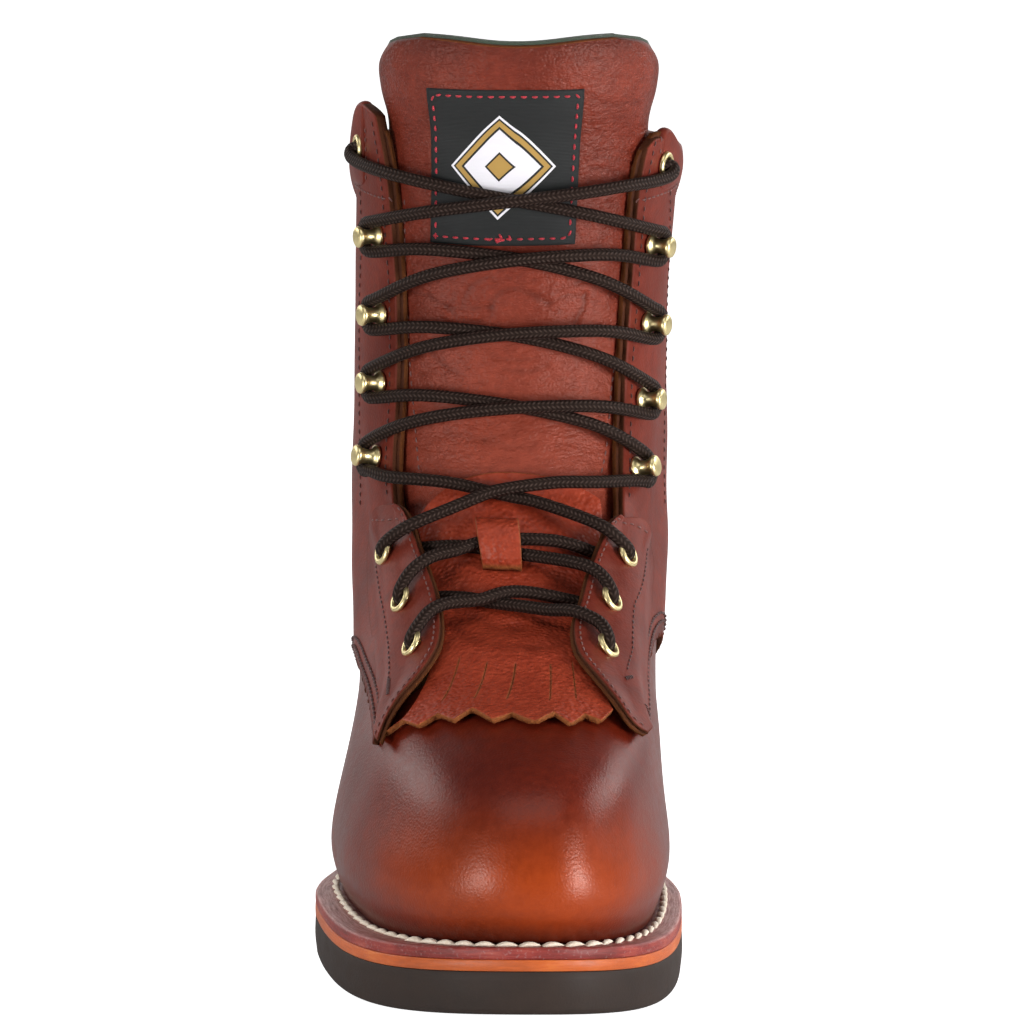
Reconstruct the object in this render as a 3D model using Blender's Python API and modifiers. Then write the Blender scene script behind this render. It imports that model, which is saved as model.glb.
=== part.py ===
"""Right-foot lace-up work boot: leather upper on a welted rubber sole, standing on the floor.

Toe towards -Y, heel towards +Y, inner (medial) side towards +X, up +Z. The tables are in
millimetres; each mesh is written in metres.
"""

import math
from collections import namedtuple

import bmesh
import bpy
import numpy as np
from mathutils import Matrix, Vector

for old in list(bpy.data.objects):
    bpy.data.objects.remove(old)

# Driving dimensions in millimetres
MM = 0.001
GAP = 0.3
OUTSOLE_FORE = 13.5
OUTSOLE_REAR = 10.0
MIDSOLE = 3.0
WELT = 3.8
INSOLE = 5.0
HEEL_LIFT = 20.0
TOE_SPRING = 8.0
TOE_Y = -153.0
BALL_FRONT_Y = -85.0
WAIST_Y = -28.0
BREAST_Y = 60.0
UPPER_SEAT = 0.6
METAL_SEAT = 0.45
COLLAR_SEAT = 0.5
WALL = 2.4
FLAP = 2.2
FLAP_LIFT = 2.6
TONGUE = 4.5
KILTIE = 1.8
KEEPER = 1.6
COLLAR = 3.6
LACE = 4.3
HOOK_LACE = 3.75
HOOK_WRAP = 4.8
SOLE_POINTS = 76
EYELET_RISE = 1.3
TURN_STEPS = 10

# Where along a section its three widths are read, what centres the boot, how square the toe is
REAR_S, MID_S, FORE_S = 0.14, 0.44, 0.68
CENTRE_X = 2.1
HEEL_POWER = 2.0
TOE_POWER = 2.2

# A section is a closed ring from its back point to its front point. Widths run from the
# line between those points to the outer (lat) and inner (med) side; the round columns say
# what share of the ring's length its ends take to close; sag follows the sole's curve.
Section = namedtuple("Section", "back_y back_rise front_y front_rise lat_rear lat_mid lat_fore "
                     "med_rear med_mid med_fore round_back round_lat round_med x_back x_front sag")

SOLE = Section(153, 0, -153, 0, 38, 50, 68.3, 37, 32.5, 47.2, 0.15, 0.40, 0.315, 5, 12, 1)
HEEL = Section(152, 0, 61, 0, 37, 37, 40, 36, 36, 35, 0.5, 0.04, 0.04, 5, 7, 1)
UPPER = [
    Section(144.0, 0, -143.5, 0, 32.5, 43.5, 60.0, 31.0, 25.0, 39.5, 0.14, 0.42, 0.33, 5, 12, 1.0),
    Section(147.5, 15, -147.5, 14, 35.5, 47.0, 63.5, 34.5, 30.0, 43.2, 0.15, 0.42, 0.33, 5, 12, 0.95),
    Section(148.5, 30, -146.0, 28, 36.5, 49.5, 61.5, 35.5, 34.5, 42.5, 0.16, 0.43, 0.35, 5, 12, 0.8),
    Section(147.0, 44, -138.0, 41, 37.0, 51.5, 57.5, 36.0, 38.5, 41.0, 0.17, 0.46, 0.38, 5, 12, 0.6),
    Section(144.5, 55, -121.0, 51, 37.5, 53.0, 54.5, 36.5, 41.5, 40.5, 0.19, 0.50, 0.44, 5, 12, 0.45),
    Section(142.0, 64, -97.0, 58, 38.0, 54.0, 52.5, 37.5, 43.5, 40.5, 0.21, 0.54, 0.50, 5, 11.5, 0.3),
    Section(140.0, 73, -69.0, 66, 39.0, 54.5, 52.0, 38.5, 45.5, 41.5, 0.24, 0.56, 0.54, 5, 10.5, 0.2),
    Section(138.5, 83, -40.0, 77, 40.5, 54.5, 51.5, 40.0, 47.5, 43.0, 0.28, 0.55, 0.54, 5, 9.0, 0.1),
    Section(137.5, 94, -12.0, 91, 43.0, 54.0, 51.0, 42.5, 49.0, 45.5, 0.33, 0.53, 0.53, 4.5, 7.0, 0.0),
    Section(137.0, 107, 9.0, 108, 46.0, 52.8, 51.0, 46.0, 50.5, 48.0, 0.39, 0.50, 0.50, 4, 5.0, 0.0),
    Section(137.5, 124, 21.0, 128, 48.5, 51.5, 51.0, 48.5, 51.0, 50.0, 0.44, 0.49, 0.49, 3.5, 4.0, 0.0),
    Section(139.5, 150, 27.0, 156, 50.5, 51.0, 51.0, 50.5, 51.5, 51.5, 0.48, 0.48, 0.48, 3.5, 3.5, 0.0),
    Section(142.0, 180, 28.0, 188, 51.5, 51.5, 51.5, 52.0, 52.5, 52.5, 0.50, 0.48, 0.48, 4.5, 4.5, 0.0),
    Section(145.0, 213, 26.0, 225, 52.5, 52.5, 52.5, 53.5, 54.0, 54.0, 0.50, 0.48, 0.48, 5.5, 5.5, 0.0),
    Section(147.0, 240, 22.0, 256, 53.0, 53.0, 53.0, 54.5, 54.5, 54.5, 0.50, 0.48, 0.48, 5.5, 5.5, 0.0),
]

# Places on the upper are given as a level, which is the front height of the ring that passes
# there, and a turn: 0 at the heel, 1 at the front, below 1 on the outer side, above 1 inner.
Place = namedtuple("Place", "level turn")
HOOKS = {
    "lateral": [Place(140.5, 0.694), Place(165.0, 0.720), Place(187.5, 0.727), Place(213.0, 0.712)],
    "medial": [Place(138.0, 1.275), Place(159.5, 1.286), Place(184.0, 1.293), Place(210.0, 1.291)],
}
EYELETS = {
    "lateral": [Place(93.0, 0.773), Place(102.2, 0.747), Place(113.1, 0.712)],
    "medial": [Place(94.4, 1.164), Place(104.2, 1.184), Place(113.4, 1.225)],
}
TOP_EYELETS = {"lateral": Place(240.0, 0.612), "medial": Place(237.0, 1.328)}

# Edge of the throat in the wall of the upper, from its lowest point up to the collar
ThroatRow = namedtuple("ThroatRow", "level lateral medial")
THROAT_LOW = 94.0
THROAT = [
    ThroatRow(95.0, 0.90, 1.09),
    ThroatRow(97.0, 0.82, 1.16),
    ThroatRow(100.0, 0.77, 1.21),
    ThroatRow(106.0, 0.745, 1.235),
    ThroatRow(120.0, 0.735, 1.245),
    ThroatRow(138.0, 0.747, 1.233),
    ThroatRow(161.0, 0.768, 1.229),
    ThroatRow(193.5, 0.773, 1.237),
    ThroatRow(216.0, 0.757, 1.239),
    ThroatRow(238.0, 0.733, 1.250),
    ThroatRow(256.0, 0.697, 1.285),
]
COLLAR_LATERAL, COLLAR_BACK, COLLAR_MEDIAL = 258.0, 237.0, 250.5
COLLAR_DIP_LATERAL, COLLAR_DIP_MEDIAL, COLLAR_DIP = 0.50, 0.53, 0.19
COLLAR_LOW, COLLAR_LOW_BACK = 226.0, 216.0
COLLAR_TURNS = (0.545, 1.455)

# Front and back edge of each quarter flap, from its tip up to its tab
FlapRow = namedtuple("FlapRow", "front_level front_turn back_level back_turn")
FLAPS = {
    "lateral": [
        FlapRow(74.0, 0.718, 75.0, 0.704),
        FlapRow(79.3, 0.758, 77.5, 0.695),
        FlapRow(87.4, 0.806, 82.0, 0.672),
        FlapRow(96.2, 0.839, 88.8, 0.627),
        FlapRow(102.7, 0.839, 95.5, 0.605),
        FlapRow(111.4, 0.821, 103.0, 0.594),
        FlapRow(119.5, 0.800, 109.5, 0.586),
        FlapRow(125.5, 0.781, 114.5, 0.582),
        FlapRow(127.5, 0.760, 116.0, 0.590),
    ],
    "medial": [
        FlapRow(77.6, 1.254, 78.0, 1.268),
        FlapRow(82.2, 1.176, 79.5, 1.279),
        FlapRow(87.8, 1.103, 83.5, 1.310),
        FlapRow(95.6, 1.079, 89.5, 1.365),
        FlapRow(101.9, 1.088, 96.0, 1.390),
        FlapRow(108.2, 1.108, 102.5, 1.402),
        FlapRow(118.1, 1.157, 110.0, 1.412),
        FlapRow(123.5, 1.190, 114.5, 1.416),
        FlapRow(125.5, 1.212, 116.0, 1.408),
    ],
}

# Tongue: level, edges, and how far its face lies above the form (below where negative)
TongueRow = namedtuple("TongueRow", "level lateral medial face")
TONGUE_ROWS = [
    TongueRow(86.0, 0.86, 1.11, -4.6),
    TongueRow(96.0, 0.83, 1.13, -5.0),
    TongueRow(110.0, 0.80, 1.17, -5.4),
    TongueRow(126.0, 0.76, 1.22, -5.2),
    TongueRow(145.0, 0.73, 1.26, -4.0),
    TongueRow(180.0, 0.71, 1.29, -3.2),
    TongueRow(220.0, 0.69, 1.31, -3.2),
    TongueRow(246.0, 0.675, 1.325, -3.2),
    TongueRow(264.0, 0.660, 1.340, -1.8),
    TongueRow(271.0, 0.672, 1.328, -0.8),
    TongueRow(276.0, 0.705, 1.295, -0.6),
    TongueRow(278.8, 0.750, 1.250, -0.8),
    TongueRow(280.0, 0.810, 1.190, -1.0),
]

# Kiltie: level at the middle and at both edges, edges, and face above the form
KiltieRow = namedtuple("KiltieRow", "lat_level mid_level med_level lateral medial face")
KILTIE_ROWS = [
    KiltieRow(77.6, 84.8, 83.6, 0.735, 1.185, 2.4),
    KiltieRow(85.0, 88.5, 87.5, 0.790, 1.165, 2.4),
    KiltieRow(92.5, 93.5, 93.0, 0.815, 1.150, 2.4),
    KiltieRow(98.0, 98.0, 97.5, 0.825, 1.145, 2.1),
    KiltieRow(103.0, 103.0, 103.0, 0.822, 1.150, -1.0),
    KiltieRow(109.0, 109.0, 109.0, 0.815, 1.160, -2.6),
    KiltieRow(119.0, 121.0, 119.0, 0.795, 1.180, -2.8),
    KiltieRow(124.0, 133.0, 128.0, 0.785, 1.190, -2.4),
    KiltieRow(126.5, 143.0, 133.0, 0.790, 1.182, -1.8),
]
TEETH = 6
TOOTH_LEVEL = 3.2
KEEPER_LEVELS = (115.0, 129.5)
KEEPER_TURNS = (0.930, 1.002)
KEEPER_ARCH = 9.2


def smooth(t):
    t = np.clip(t, 0, 1)
    return t * t * (3 - 2 * t)


# Heights of the sole at each place along its length: the waist is two equal bends
def waist_share(y):
    t = np.clip((np.asarray(y, float) - WAIST_Y) / (BREAST_Y - WAIST_Y), 0, 1)
    return np.where(t < 0.5, 2 * t * t, 1 - 2 * (1 - t) ** 2)


def tread_z(y):
    toe = np.clip((BALL_FRONT_Y - np.asarray(y, float)) / (BALL_FRONT_Y - TOE_Y), 0, None)
    return HEEL_LIFT * waist_share(y) + TOE_SPRING * toe ** 2


def outsole_top(y):
    return tread_z(y) + OUTSOLE_FORE + (OUTSOLE_REAR - OUTSOLE_FORE) * waist_share(y)


def midsole_top(y):
    return outsole_top(y) + GAP + MIDSOLE


def welt_top(y):
    return midsole_top(y) + GAP + WELT


def feather_z(y):
    return welt_top(y) + UPPER_SEAT


FEATHER_BACK = float(feather_z(UPPER[0].back_y))
FEATHER_FRONT = float(feather_z(UPPER[0].front_y))


# A natural cubic spline through table rows, read one column per field
def natural_spline(knots, rows):
    count = len(knots)
    gaps = np.diff(knots)
    slopes = np.diff(rows, axis=0) / gaps[:, None]
    matrix = np.eye(count)
    bends = np.zeros_like(rows)
    for i in range(1, count - 1):
        matrix[i, i - 1:i + 2] = gaps[i - 1], 2 * (gaps[i - 1] + gaps[i]), gaps[i]
        bends[i] = 6 * (slopes[i] - slopes[i - 1])
    bends = np.linalg.solve(matrix, bends)

    def read(v):
        v = np.asarray(v, float)
        i = np.clip(np.searchsorted(knots, v) - 1, 0, count - 2)
        gap = gaps[i][..., None]
        a = (knots[i + 1] - v)[..., None] / gap
        b = 1 - a
        curve = (a ** 3 - a) * bends[i] + (b ** 3 - b) * bends[i + 1]
        return a * rows[i] + b * rows[i + 1] + curve * gap * gap / 6

    return read


UPPER_ROWS = np.array(UPPER, float)
BACK_STEPS = np.hypot(np.diff(UPPER_ROWS[:, 0]), np.diff(UPPER_ROWS[:, 1]))
FRONT_STEPS = np.hypot(np.diff(UPPER_ROWS[:, 2]), np.diff(UPPER_ROWS[:, 3]))
UPPER_KNOTS = np.append(0, np.cumsum(BACK_STEPS + FRONT_STEPS)) / (BACK_STEPS + FRONT_STEPS).sum()
UPPER_SPLINE = natural_spline(UPPER_KNOTS, UPPER_ROWS)


def section_at(v):
    return Section(*np.moveaxis(UPPER_SPLINE(v), -1, 0))


FINE = np.linspace(0, 1, 2001)
FINE_LEVELS = FEATHER_FRONT + section_at(FINE).front_rise


def at_level(front_z):
    return np.interp(front_z, FINE_LEVELS, FINE)


# Plan outline of a section; theta runs from the heel over the outer side to the front
def round_end(t, power):
    return (1 - (1 - np.clip(t, 0, 1)) ** power) ** (1 / power)


def plan(sec, theta):
    s = (1 - np.cos(theta)) / 2
    y = sec.back_y + (sec.front_y - sec.back_y) * s
    heel = round_end(s / sec.round_back, HEEL_POWER)
    rear = smooth((s - REAR_S) / (MID_S - REAR_S))
    fore = smooth((s - MID_S) / (FORE_S - MID_S))
    lat = sec.lat_rear + (sec.lat_mid - sec.lat_rear) * rear + (sec.lat_fore - sec.lat_mid) * fore
    med = sec.med_rear + (sec.med_mid - sec.med_rear) * rear + (sec.med_fore - sec.med_mid) * fore
    lat = -lat * heel * round_end((1 - s) / sec.round_lat, TOE_POWER)
    med = med * heel * round_end((1 - s) / sec.round_med, TOE_POWER)
    x = sec.x_back + (sec.x_front - sec.x_back) * s + np.where(np.sin(theta) > 0, lat, med)
    return x - CENTRE_X, y, s


def form(v, theta):
    """Outer surface of the upper."""
    v, theta = np.broadcast_arrays(np.asarray(v, float), np.asarray(theta, float))
    sec = section_at(v)
    x, y, s = plan(sec, theta)
    straight = feather_z(sec.back_y) + (feather_z(sec.front_y) - feather_z(sec.back_y)) * s
    back_z = FEATHER_BACK + sec.back_rise
    z = back_z + (FEATHER_FRONT + sec.front_rise - back_z) * s + sec.sag * (feather_z(y) - straight)
    return np.stack([x, y, z], -1)


def form_normal(v, theta):
    across = form(v, theta + 1e-3) - form(v, theta - 1e-3)
    upward = form(v + 1e-3, theta) - form(v - 1e-3, theta)
    normal = np.cross(across, upward)
    return normal / np.linalg.norm(normal, axis=-1, keepdims=True)


def on_form(level, turn, height):
    """Points at a height over the form."""
    level, turn, height = np.broadcast_arrays(*(np.asarray(a, float) for a in (level, turn, height)))
    v = at_level(level)
    theta = turn * math.pi
    return form(v, theta) + form_normal(v, theta) * height[..., None]


# Collections, materials and mesh helpers
boot = bpy.data.collections.new("work_boot")
bpy.context.scene.collection.children.link(boot)


def colour(name, red, green, blue, rough, metal=0.0):
    material = bpy.data.materials.new(name)
    material.use_nodes = True
    shader = material.node_tree.nodes["Principled BSDF"]
    shader.inputs["Base Color"].default_value = (red, green, blue, 1)
    shader.inputs["Roughness"].default_value = rough
    shader.inputs["Metallic"].default_value = metal
    return material


UPPER_LEATHER = colour("upper_leather", 0.13, 0.035, 0.022, 0.45)
TONGUE_LEATHER = colour("tongue_leather", 0.20, 0.035, 0.018, 0.5)
WELT_LEATHER = colour("welt_leather", 0.10, 0.02, 0.02, 0.6)
MIDSOLE_LEATHER = colour("midsole_leather", 0.45, 0.09, 0.015, 0.5)
INSOLE_LEATHER = colour("insole_leather", 0.45, 0.25, 0.12, 0.7)
RUBBER = colour("sole_rubber", 0.04, 0.033, 0.03, 0.7)
BRASS = colour("brass", 0.75, 0.55, 0.25, 0.3, 1.0)
CORD = colour("lace_cord", 0.02, 0.017, 0.016, 0.8)


def add(name, mesh, material):
    obj = bpy.data.objects.new(name, mesh)
    obj.data.materials.append(material)
    boot.objects.link(obj)
    return obj


def mesh_of(name, points, faces):
    """A welded mesh from points in millimetres."""
    mesh = bpy.data.meshes.new(name)
    mesh.from_pydata([tuple(p * MM) for p in points], [], faces)
    work = bmesh.new()
    work.from_mesh(mesh)
    bmesh.ops.remove_doubles(work, verts=work.verts, dist=0.005 * MM)
    work.to_mesh(mesh)
    work.free()
    return mesh


def grid_faces(rows, columns, start=0, flip=False):
    faces = []
    for i in range(rows - 1):
        for j in range(columns - 1):
            a = start + i * columns + j
            face = [a, a + columns, a + columns + 1, a + 1]
            faces.append(face[::-1] if flip else face)
    return faces


def shell(name, grid, thickness, material):
    """A sheet through a grid of points, thickened inwards with Solidify."""
    rows, columns = grid.shape[:2]
    mesh = mesh_of(name, grid.reshape(-1, 3), grid_faces(rows, columns))
    obj = add(name, mesh, material)
    solid = obj.modifiers.new("Wall", "SOLIDIFY")
    solid.thickness = thickness * MM
    solid.offset = -1
    solid.use_even_offset = True
    return obj


def pad(name, outer, inner, material):
    """A closed solid between two grids of the same size."""
    rows, columns = outer.shape[:2]
    count = rows * columns
    faces = grid_faces(rows, columns) + grid_faces(rows, columns, count, True)
    rim = [j for j in range(columns)] + [i * columns + columns - 1 for i in range(1, rows)]
    rim += [(rows - 1) * columns + j for j in range(columns - 2, -1, -1)]
    rim += [i * columns for i in range(rows - 2, 0, -1)]
    for a, b in zip(rim, rim[1:] + rim[:1]):
        faces.append([a, b, b + count, a + count])
    points = np.concatenate([outer.reshape(-1, 3), inner.reshape(-1, 3)])
    return add(name, mesh_of(name, points, faces), material)


# Flat layers of the sole, with more points at the bent waist than even angles give
def closer_at_middle(share):
    return share + 0.05 * np.sin(2 * math.pi * share)


def outline(sec, inset, count):
    half = closer_at_middle(np.arange(count // 2 + 1) * 2 / count) * math.pi
    theta = np.concatenate([half, 2 * math.pi - half[-2:0:-1]])
    x, y, _ = plan(sec, theta)
    ahead = plan(sec, theta + 1e-3)
    behind = plan(sec, theta - 1e-3)
    along = np.stack([ahead[0] - behind[0], ahead[1] - behind[1]], -1)
    along /= np.linalg.norm(along, axis=-1, keepdims=True)
    return x - along[:, 1] * inset, y + along[:, 0] * inset


def loop(sec, inset, height, count=SOLE_POINTS):
    x, y = outline(sec, inset, count)
    return np.stack([x, y, height(y)], -1)


def slab(name, sec, rings, material, count=SOLE_POINTS):
    """A layer skinned through rings from its top edge down, closed across the boot."""
    loops = [loop(sec, inset, height, count) for inset, height in rings]
    faces = []
    for i in range(len(loops) - 1):
        for j in range(count):
            k = (j + 1) % count
            a, b = i * count, (i + 1) * count
            faces.append([a + j, b + j, b + k, a + k])
    last = (len(loops) - 1) * count
    for j in range(count // 2):
        left, right = (j, j + 1), ((count - j) % count, count - j - 1)
        top = [left[0], left[1], right[1], right[0]]
        faces.append(list(dict.fromkeys(top)))
        faces.append([last + p for p in dict.fromkeys(top[::-1])])
    return add(name, mesh_of(name, np.concatenate(loops), faces), material)


def band(name, loops, material):
    """A closed ring of the sole, skinned through four loops."""
    count = len(loops[0])
    faces = []
    for i in range(len(loops)):
        for j in range(count):
            k = (j + 1) % count
            a, b = i * count, (i + 1) % len(loops) * count
            faces.append([a + j, b + j, b + k, a + k])
    return add(name, mesh_of(name, np.concatenate(loops), faces), material)


slab("outsole", SOLE, [(0, outsole_top), (0.6, lambda y: tread_z(y) + 5.0),
                       (1.6, lambda y: tread_z(y) + 1.6), (3.6, tread_z)], RUBBER)
slab("heel", HEEL, [(0, lambda y: 0 * y + HEEL_LIFT - GAP), (0.8, lambda y: 0 * y + 2.0),
                    (2.4, lambda y: 0 * y)], RUBBER)
slab("midsole", SOLE, [(0, midsole_top), (0, lambda y: outsole_top(y) + GAP)], MIDSOLE_LEATHER)
slab("insole", UPPER[0], [(WALL + 1.3, lambda y: midsole_top(y) + GAP + INSOLE),
                          (WALL + 1.3, lambda y: midsole_top(y) + GAP)], INSOLE_LEATHER)
band("welt", [loop(SOLE, 0, welt_top), loop(SOLE, 0, lambda y: midsole_top(y) + GAP),
              loop(UPPER[0], WALL, lambda y: midsole_top(y) + GAP), loop(UPPER[0], WALL, welt_top)],
     WELT_LEATHER)


# Upper: one wall from the outer throat edge round the heel to the inner throat edge
def collar_level(turn):
    """Height of the collar, which dips behind the facings; turn runs below 0 on the inner side."""
    front = np.where(turn > 0, COLLAR_LATERAL, COLLAR_MEDIAL)
    start = np.where(turn > 0, COLLAR_DIP_LATERAL, COLLAR_DIP_MEDIAL)
    return COLLAR_BACK + (front - COLLAR_BACK) * smooth((np.abs(turn) - start) / COLLAR_DIP)


def throat_turns(levels):
    table = np.array([ThroatRow(THROAT_LOW, 1.0, 1.0)] + THROAT, float)
    lateral = np.interp(levels, table[:, 0], table[:, 1])
    medial = np.interp(levels, table[:, 0], table[:, 2])
    return lateral, medial - 2


def upper_grid(half_columns=18):
    low = FEATHER_FRONT + np.array([0, 6, 14, 23, 32, 40, 46, 51, 56, 61])
    throat = [THROAT_LOW, 95, 96.2, 98, 100, 104, 111, 120, 130, 143]
    levels = np.concatenate([low, throat, np.linspace(160, COLLAR_BACK, 6)])
    lateral, medial = throat_turns(levels)
    share = closer_at_middle(np.linspace(0, 1, half_columns))
    turns = np.concatenate([lateral[:, None] * share[::-1], medial[:, None] * share[1:]], axis=1)
    stretch = smooth((levels - 200) / (COLLAR_BACK - 200))[:, None]
    levels = levels[:, None] + (collar_level(turns) - COLLAR_BACK) * stretch
    return on_form(levels, turns, 0)


shell("upper", upper_grid(), WALL, UPPER_LEATHER)


# Quarter flaps lie over the wall and are lifted at the front, where the kiltie runs under
def flap_height(turn):
    away = np.abs(np.asarray(turn, float) - 1)
    return GAP + FLAP + FLAP_LIFT * (1 - smooth((away - 0.28) / 0.11))


def flap_grid(rows, columns=6):
    table = natural_spline(np.arange(len(rows), dtype=float), np.array(rows, float))
    read = FlapRow(*np.moveaxis(table(np.linspace(0, len(rows) - 1, 15)), -1, 0))
    share = np.linspace(0, 1, columns)
    levels = read.front_level[:, None] + (read.back_level - read.front_level)[:, None] * share
    turns = read.front_turn[:, None] + (read.back_turn - read.front_turn)[:, None] * share
    return on_form(levels, turns, flap_height(turns))


for side, rows in FLAPS.items():
    grid = flap_grid(rows)
    shell("quarter_flap_" + side, grid if side == "lateral" else grid[:, ::-1], FLAP, UPPER_LEATHER)


# Padded collar round the back of the shaft
def collar_grids(rows=6, columns=21):
    turns = np.linspace(COLLAR_TURNS[0], COLLAR_TURNS[1] - 2, columns)
    share = np.linspace(0, 1, rows)[:, None]
    low = COLLAR_LOW_BACK + (COLLAR_LOW - COLLAR_LOW_BACK) * smooth((np.abs(turns) - 0.40) / 0.20)
    levels = low + (collar_level(turns) - low) * share
    ends = np.sin(np.linspace(0, math.pi, columns)) ** 0.3
    bulge = 0.7 + (COLLAR - 0.7) * np.sin(share * math.pi) ** 0.7 * ends
    return on_form(levels, turns, COLLAR_SEAT + bulge), on_form(levels, turns, COLLAR_SEAT + 0 * bulge)


pad("collar", *collar_grids(), UPPER_LEATHER)


# Tongue, standing above the collar
def tongue_grid(rows=21, columns=9):
    table = np.array(TONGUE_ROWS, float)
    knots = np.append(0, np.cumsum(np.diff(table[:, 0]) ** 0.75))
    read = TongueRow(*np.moveaxis(natural_spline(knots, table)(np.linspace(0, knots[-1], rows)), -1, 0))
    share = np.linspace(0, 1, columns)
    turns = read.lateral[:, None] + (read.medial - read.lateral)[:, None] * share
    return on_form(read.level[:, None], turns, read.face[:, None])


shell("tongue", tongue_grid()[:, ::-1], TONGUE, TONGUE_LEATHER)


# Kiltie with a pinked front edge
def kiltie_grid(rows=13):
    table = np.array(KILTIE_ROWS, float)
    read = natural_spline(np.arange(len(table), dtype=float), table)(np.linspace(0, len(table) - 1, rows))
    read = KiltieRow(*(column[:, None] for column in np.moveaxis(read, -1, 0)))
    share = np.linspace(0, 1, 2 * TEETH + 1)
    side = np.where(share < 0.5, read.lat_level, read.med_level)
    levels = read.mid_level + (side - read.mid_level) * np.abs(2 * share - 1) ** 2
    levels[0] += TOOTH_LEVEL * (np.arange(2 * TEETH + 1) % 2 - 0.5)
    turns = read.lateral + (read.medial - read.lateral) * share
    return on_form(levels, turns, read.face)


shell("kiltie", kiltie_grid()[:, ::-1], KILTIE, TONGUE_LEATHER)


# Leather loop on the kiltie that the laces pass under
def keeper_grid(rows=9, columns=3):
    share = np.linspace(0, 1, rows)[:, None]
    levels = KEEPER_LEVELS[0] + (KEEPER_LEVELS[1] - KEEPER_LEVELS[0]) * share + np.zeros(columns)
    turns = np.linspace(*KEEPER_TURNS, columns) + 0 * share
    arch = np.sin(share * math.pi) ** 0.5
    return on_form(levels, turns, KILTIE_ROWS[5].face + GAP + KEEPER + KEEPER_ARCH * arch)


shell("lace_keeper", keeper_grid()[:, ::-1], KEEPER, TONGUE_LEATHER)


# Brass eyelets and hooks, turned about Z and set upright on the leather
def turned(name, profile, place, height, steps):
    radii = [tuple(Vector((r, 0, z)) * MM) for r, z in profile]
    mesh = bpy.data.meshes.new(name)
    mesh.from_pydata(radii, [(i, i + 1) for i in range(len(radii) - 1)], [])
    obj = add(name, mesh, BRASS)
    screw = obj.modifiers.new("Turn", "SCREW")
    screw.steps = screw.render_steps = steps
    screw.use_merge_vertices = True
    screw.merge_threshold = 0.00001
    v, theta = at_level(place.level), place.turn * math.pi
    normal = Vector(form_normal(v, theta))
    spot = Vector(on_form(place.level, place.turn, height)) * MM
    obj.matrix_world = Matrix.Translation(spot) @ Vector((0, 0, 1)).rotation_difference(normal).to_matrix().to_4x4()
    return obj


EYELET_PROFILE = [(2.6, EYELET_RISE - 0.2), (3.4, EYELET_RISE), (4.6, 0.5), (4.6, 0), (2.6, 0),
                  (2.6, EYELET_RISE - 0.2)]
HOOK_PROFILE = [(0, 7.6), (2.4, 7.4), (3.5, 6.6), (3.5, 6.0), (2.1, 5.9), (2.1, 0.9), (3.9, 0.8),
                (3.9, 0), (0, 0)]

for side in ("lateral", "medial"):
    for number, place in enumerate(EYELETS[side], 1):
        turned(f"eyelet_{side}_{number}", EYELET_PROFILE, place, flap_height(place.turn) + METAL_SEAT, TURN_STEPS)
    turned(f"eyelet_{side}_top", EYELET_PROFILE, TOP_EYELETS[side], METAL_SEAT, TURN_STEPS)
    for number, place in enumerate(HOOKS[side], 1):
        turned(f"hook_{side}_{number}", HOOK_PROFILE, place, METAL_SEAT, TURN_STEPS)


# Laces: routes over the form, each point a level, a turn and a height
def span(start, end, middle, bow):
    """Points of a lace between two places, its middle raised by a bow and at its own height."""
    points = []
    for share in np.arange(1, 6) / 6:
        level, turn, height = np.add(start, np.subtract(end, start) * share)
        level += bow * 4 * share * (1 - share)
        points.append(on_form(level, turn, height + (middle - height) * math.sin(share * math.pi) ** 2))
    return points


def wrap(place, outward):
    """A lace round the outer side of a hook, from below it to above it."""
    v, theta = at_level(place.level), place.turn * math.pi
    normal = form_normal(v, theta)
    up = form(v + 1e-3, theta) - form(v - 1e-3, theta)
    up /= np.linalg.norm(up)
    out = np.cross(up, normal) * outward
    centre = on_form(place.level, place.turn, METAL_SEAT + HOOK_LACE)
    angles = np.radians(np.arange(-90, 91, 30))
    return [centre + HOOK_WRAP * (math.cos(a) * out + math.sin(a) * up) for a in angles]


def tube(name, points):
    curve = bpy.data.curves.new(name, "CURVE")
    curve.dimensions = "3D"
    curve.bevel_depth = LACE / 2 * MM
    curve.bevel_resolution = 2
    curve.use_fill_caps = True
    spline = curve.splines.new("POLY")
    spline.points.add(len(points) - 1)
    for point, spot in zip(spline.points, points):
        point.co = (*(np.asarray(spot) * MM), 1)
    helper = bpy.data.objects.new(name, curve)
    boot.objects.link(helper)
    mesh = bpy.data.meshes.new_from_object(helper.evaluated_get(bpy.context.evaluated_depsgraph_get()))
    bpy.data.objects.remove(helper)
    work = bmesh.new()
    work.from_mesh(mesh)
    bmesh.ops.remove_doubles(work, verts=work.verts, dist=0.005 * MM)
    bmesh.ops.recalc_face_normals(work, faces=work.faces)
    work.to_mesh(mesh)
    work.free()
    mesh.materials.clear()
    return mesh


cutters = bpy.data.collections.new("lace_helpers")
bpy.context.scene.collection.children.link(cutters)


def crossed(name, first, second):
    """Two laces joined where they cross."""
    obj = add(name, tube(name, first), CORD)
    other = bpy.data.objects.new(name + "_second", tube(name + "_second", second))
    other.hide_render = True
    other.display_type = "WIRE"
    cutters.objects.link(other)
    join = obj.modifiers.new("Join", "BOOLEAN")
    join.operation = "UNION"
    join.solver = "EXACT"
    join.object = other
    return obj


OVER_FLAP = GAP + FLAP + FLAP_LIFT + METAL_SEAT + EYELET_RISE + 0.5 + LACE / 2


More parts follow.
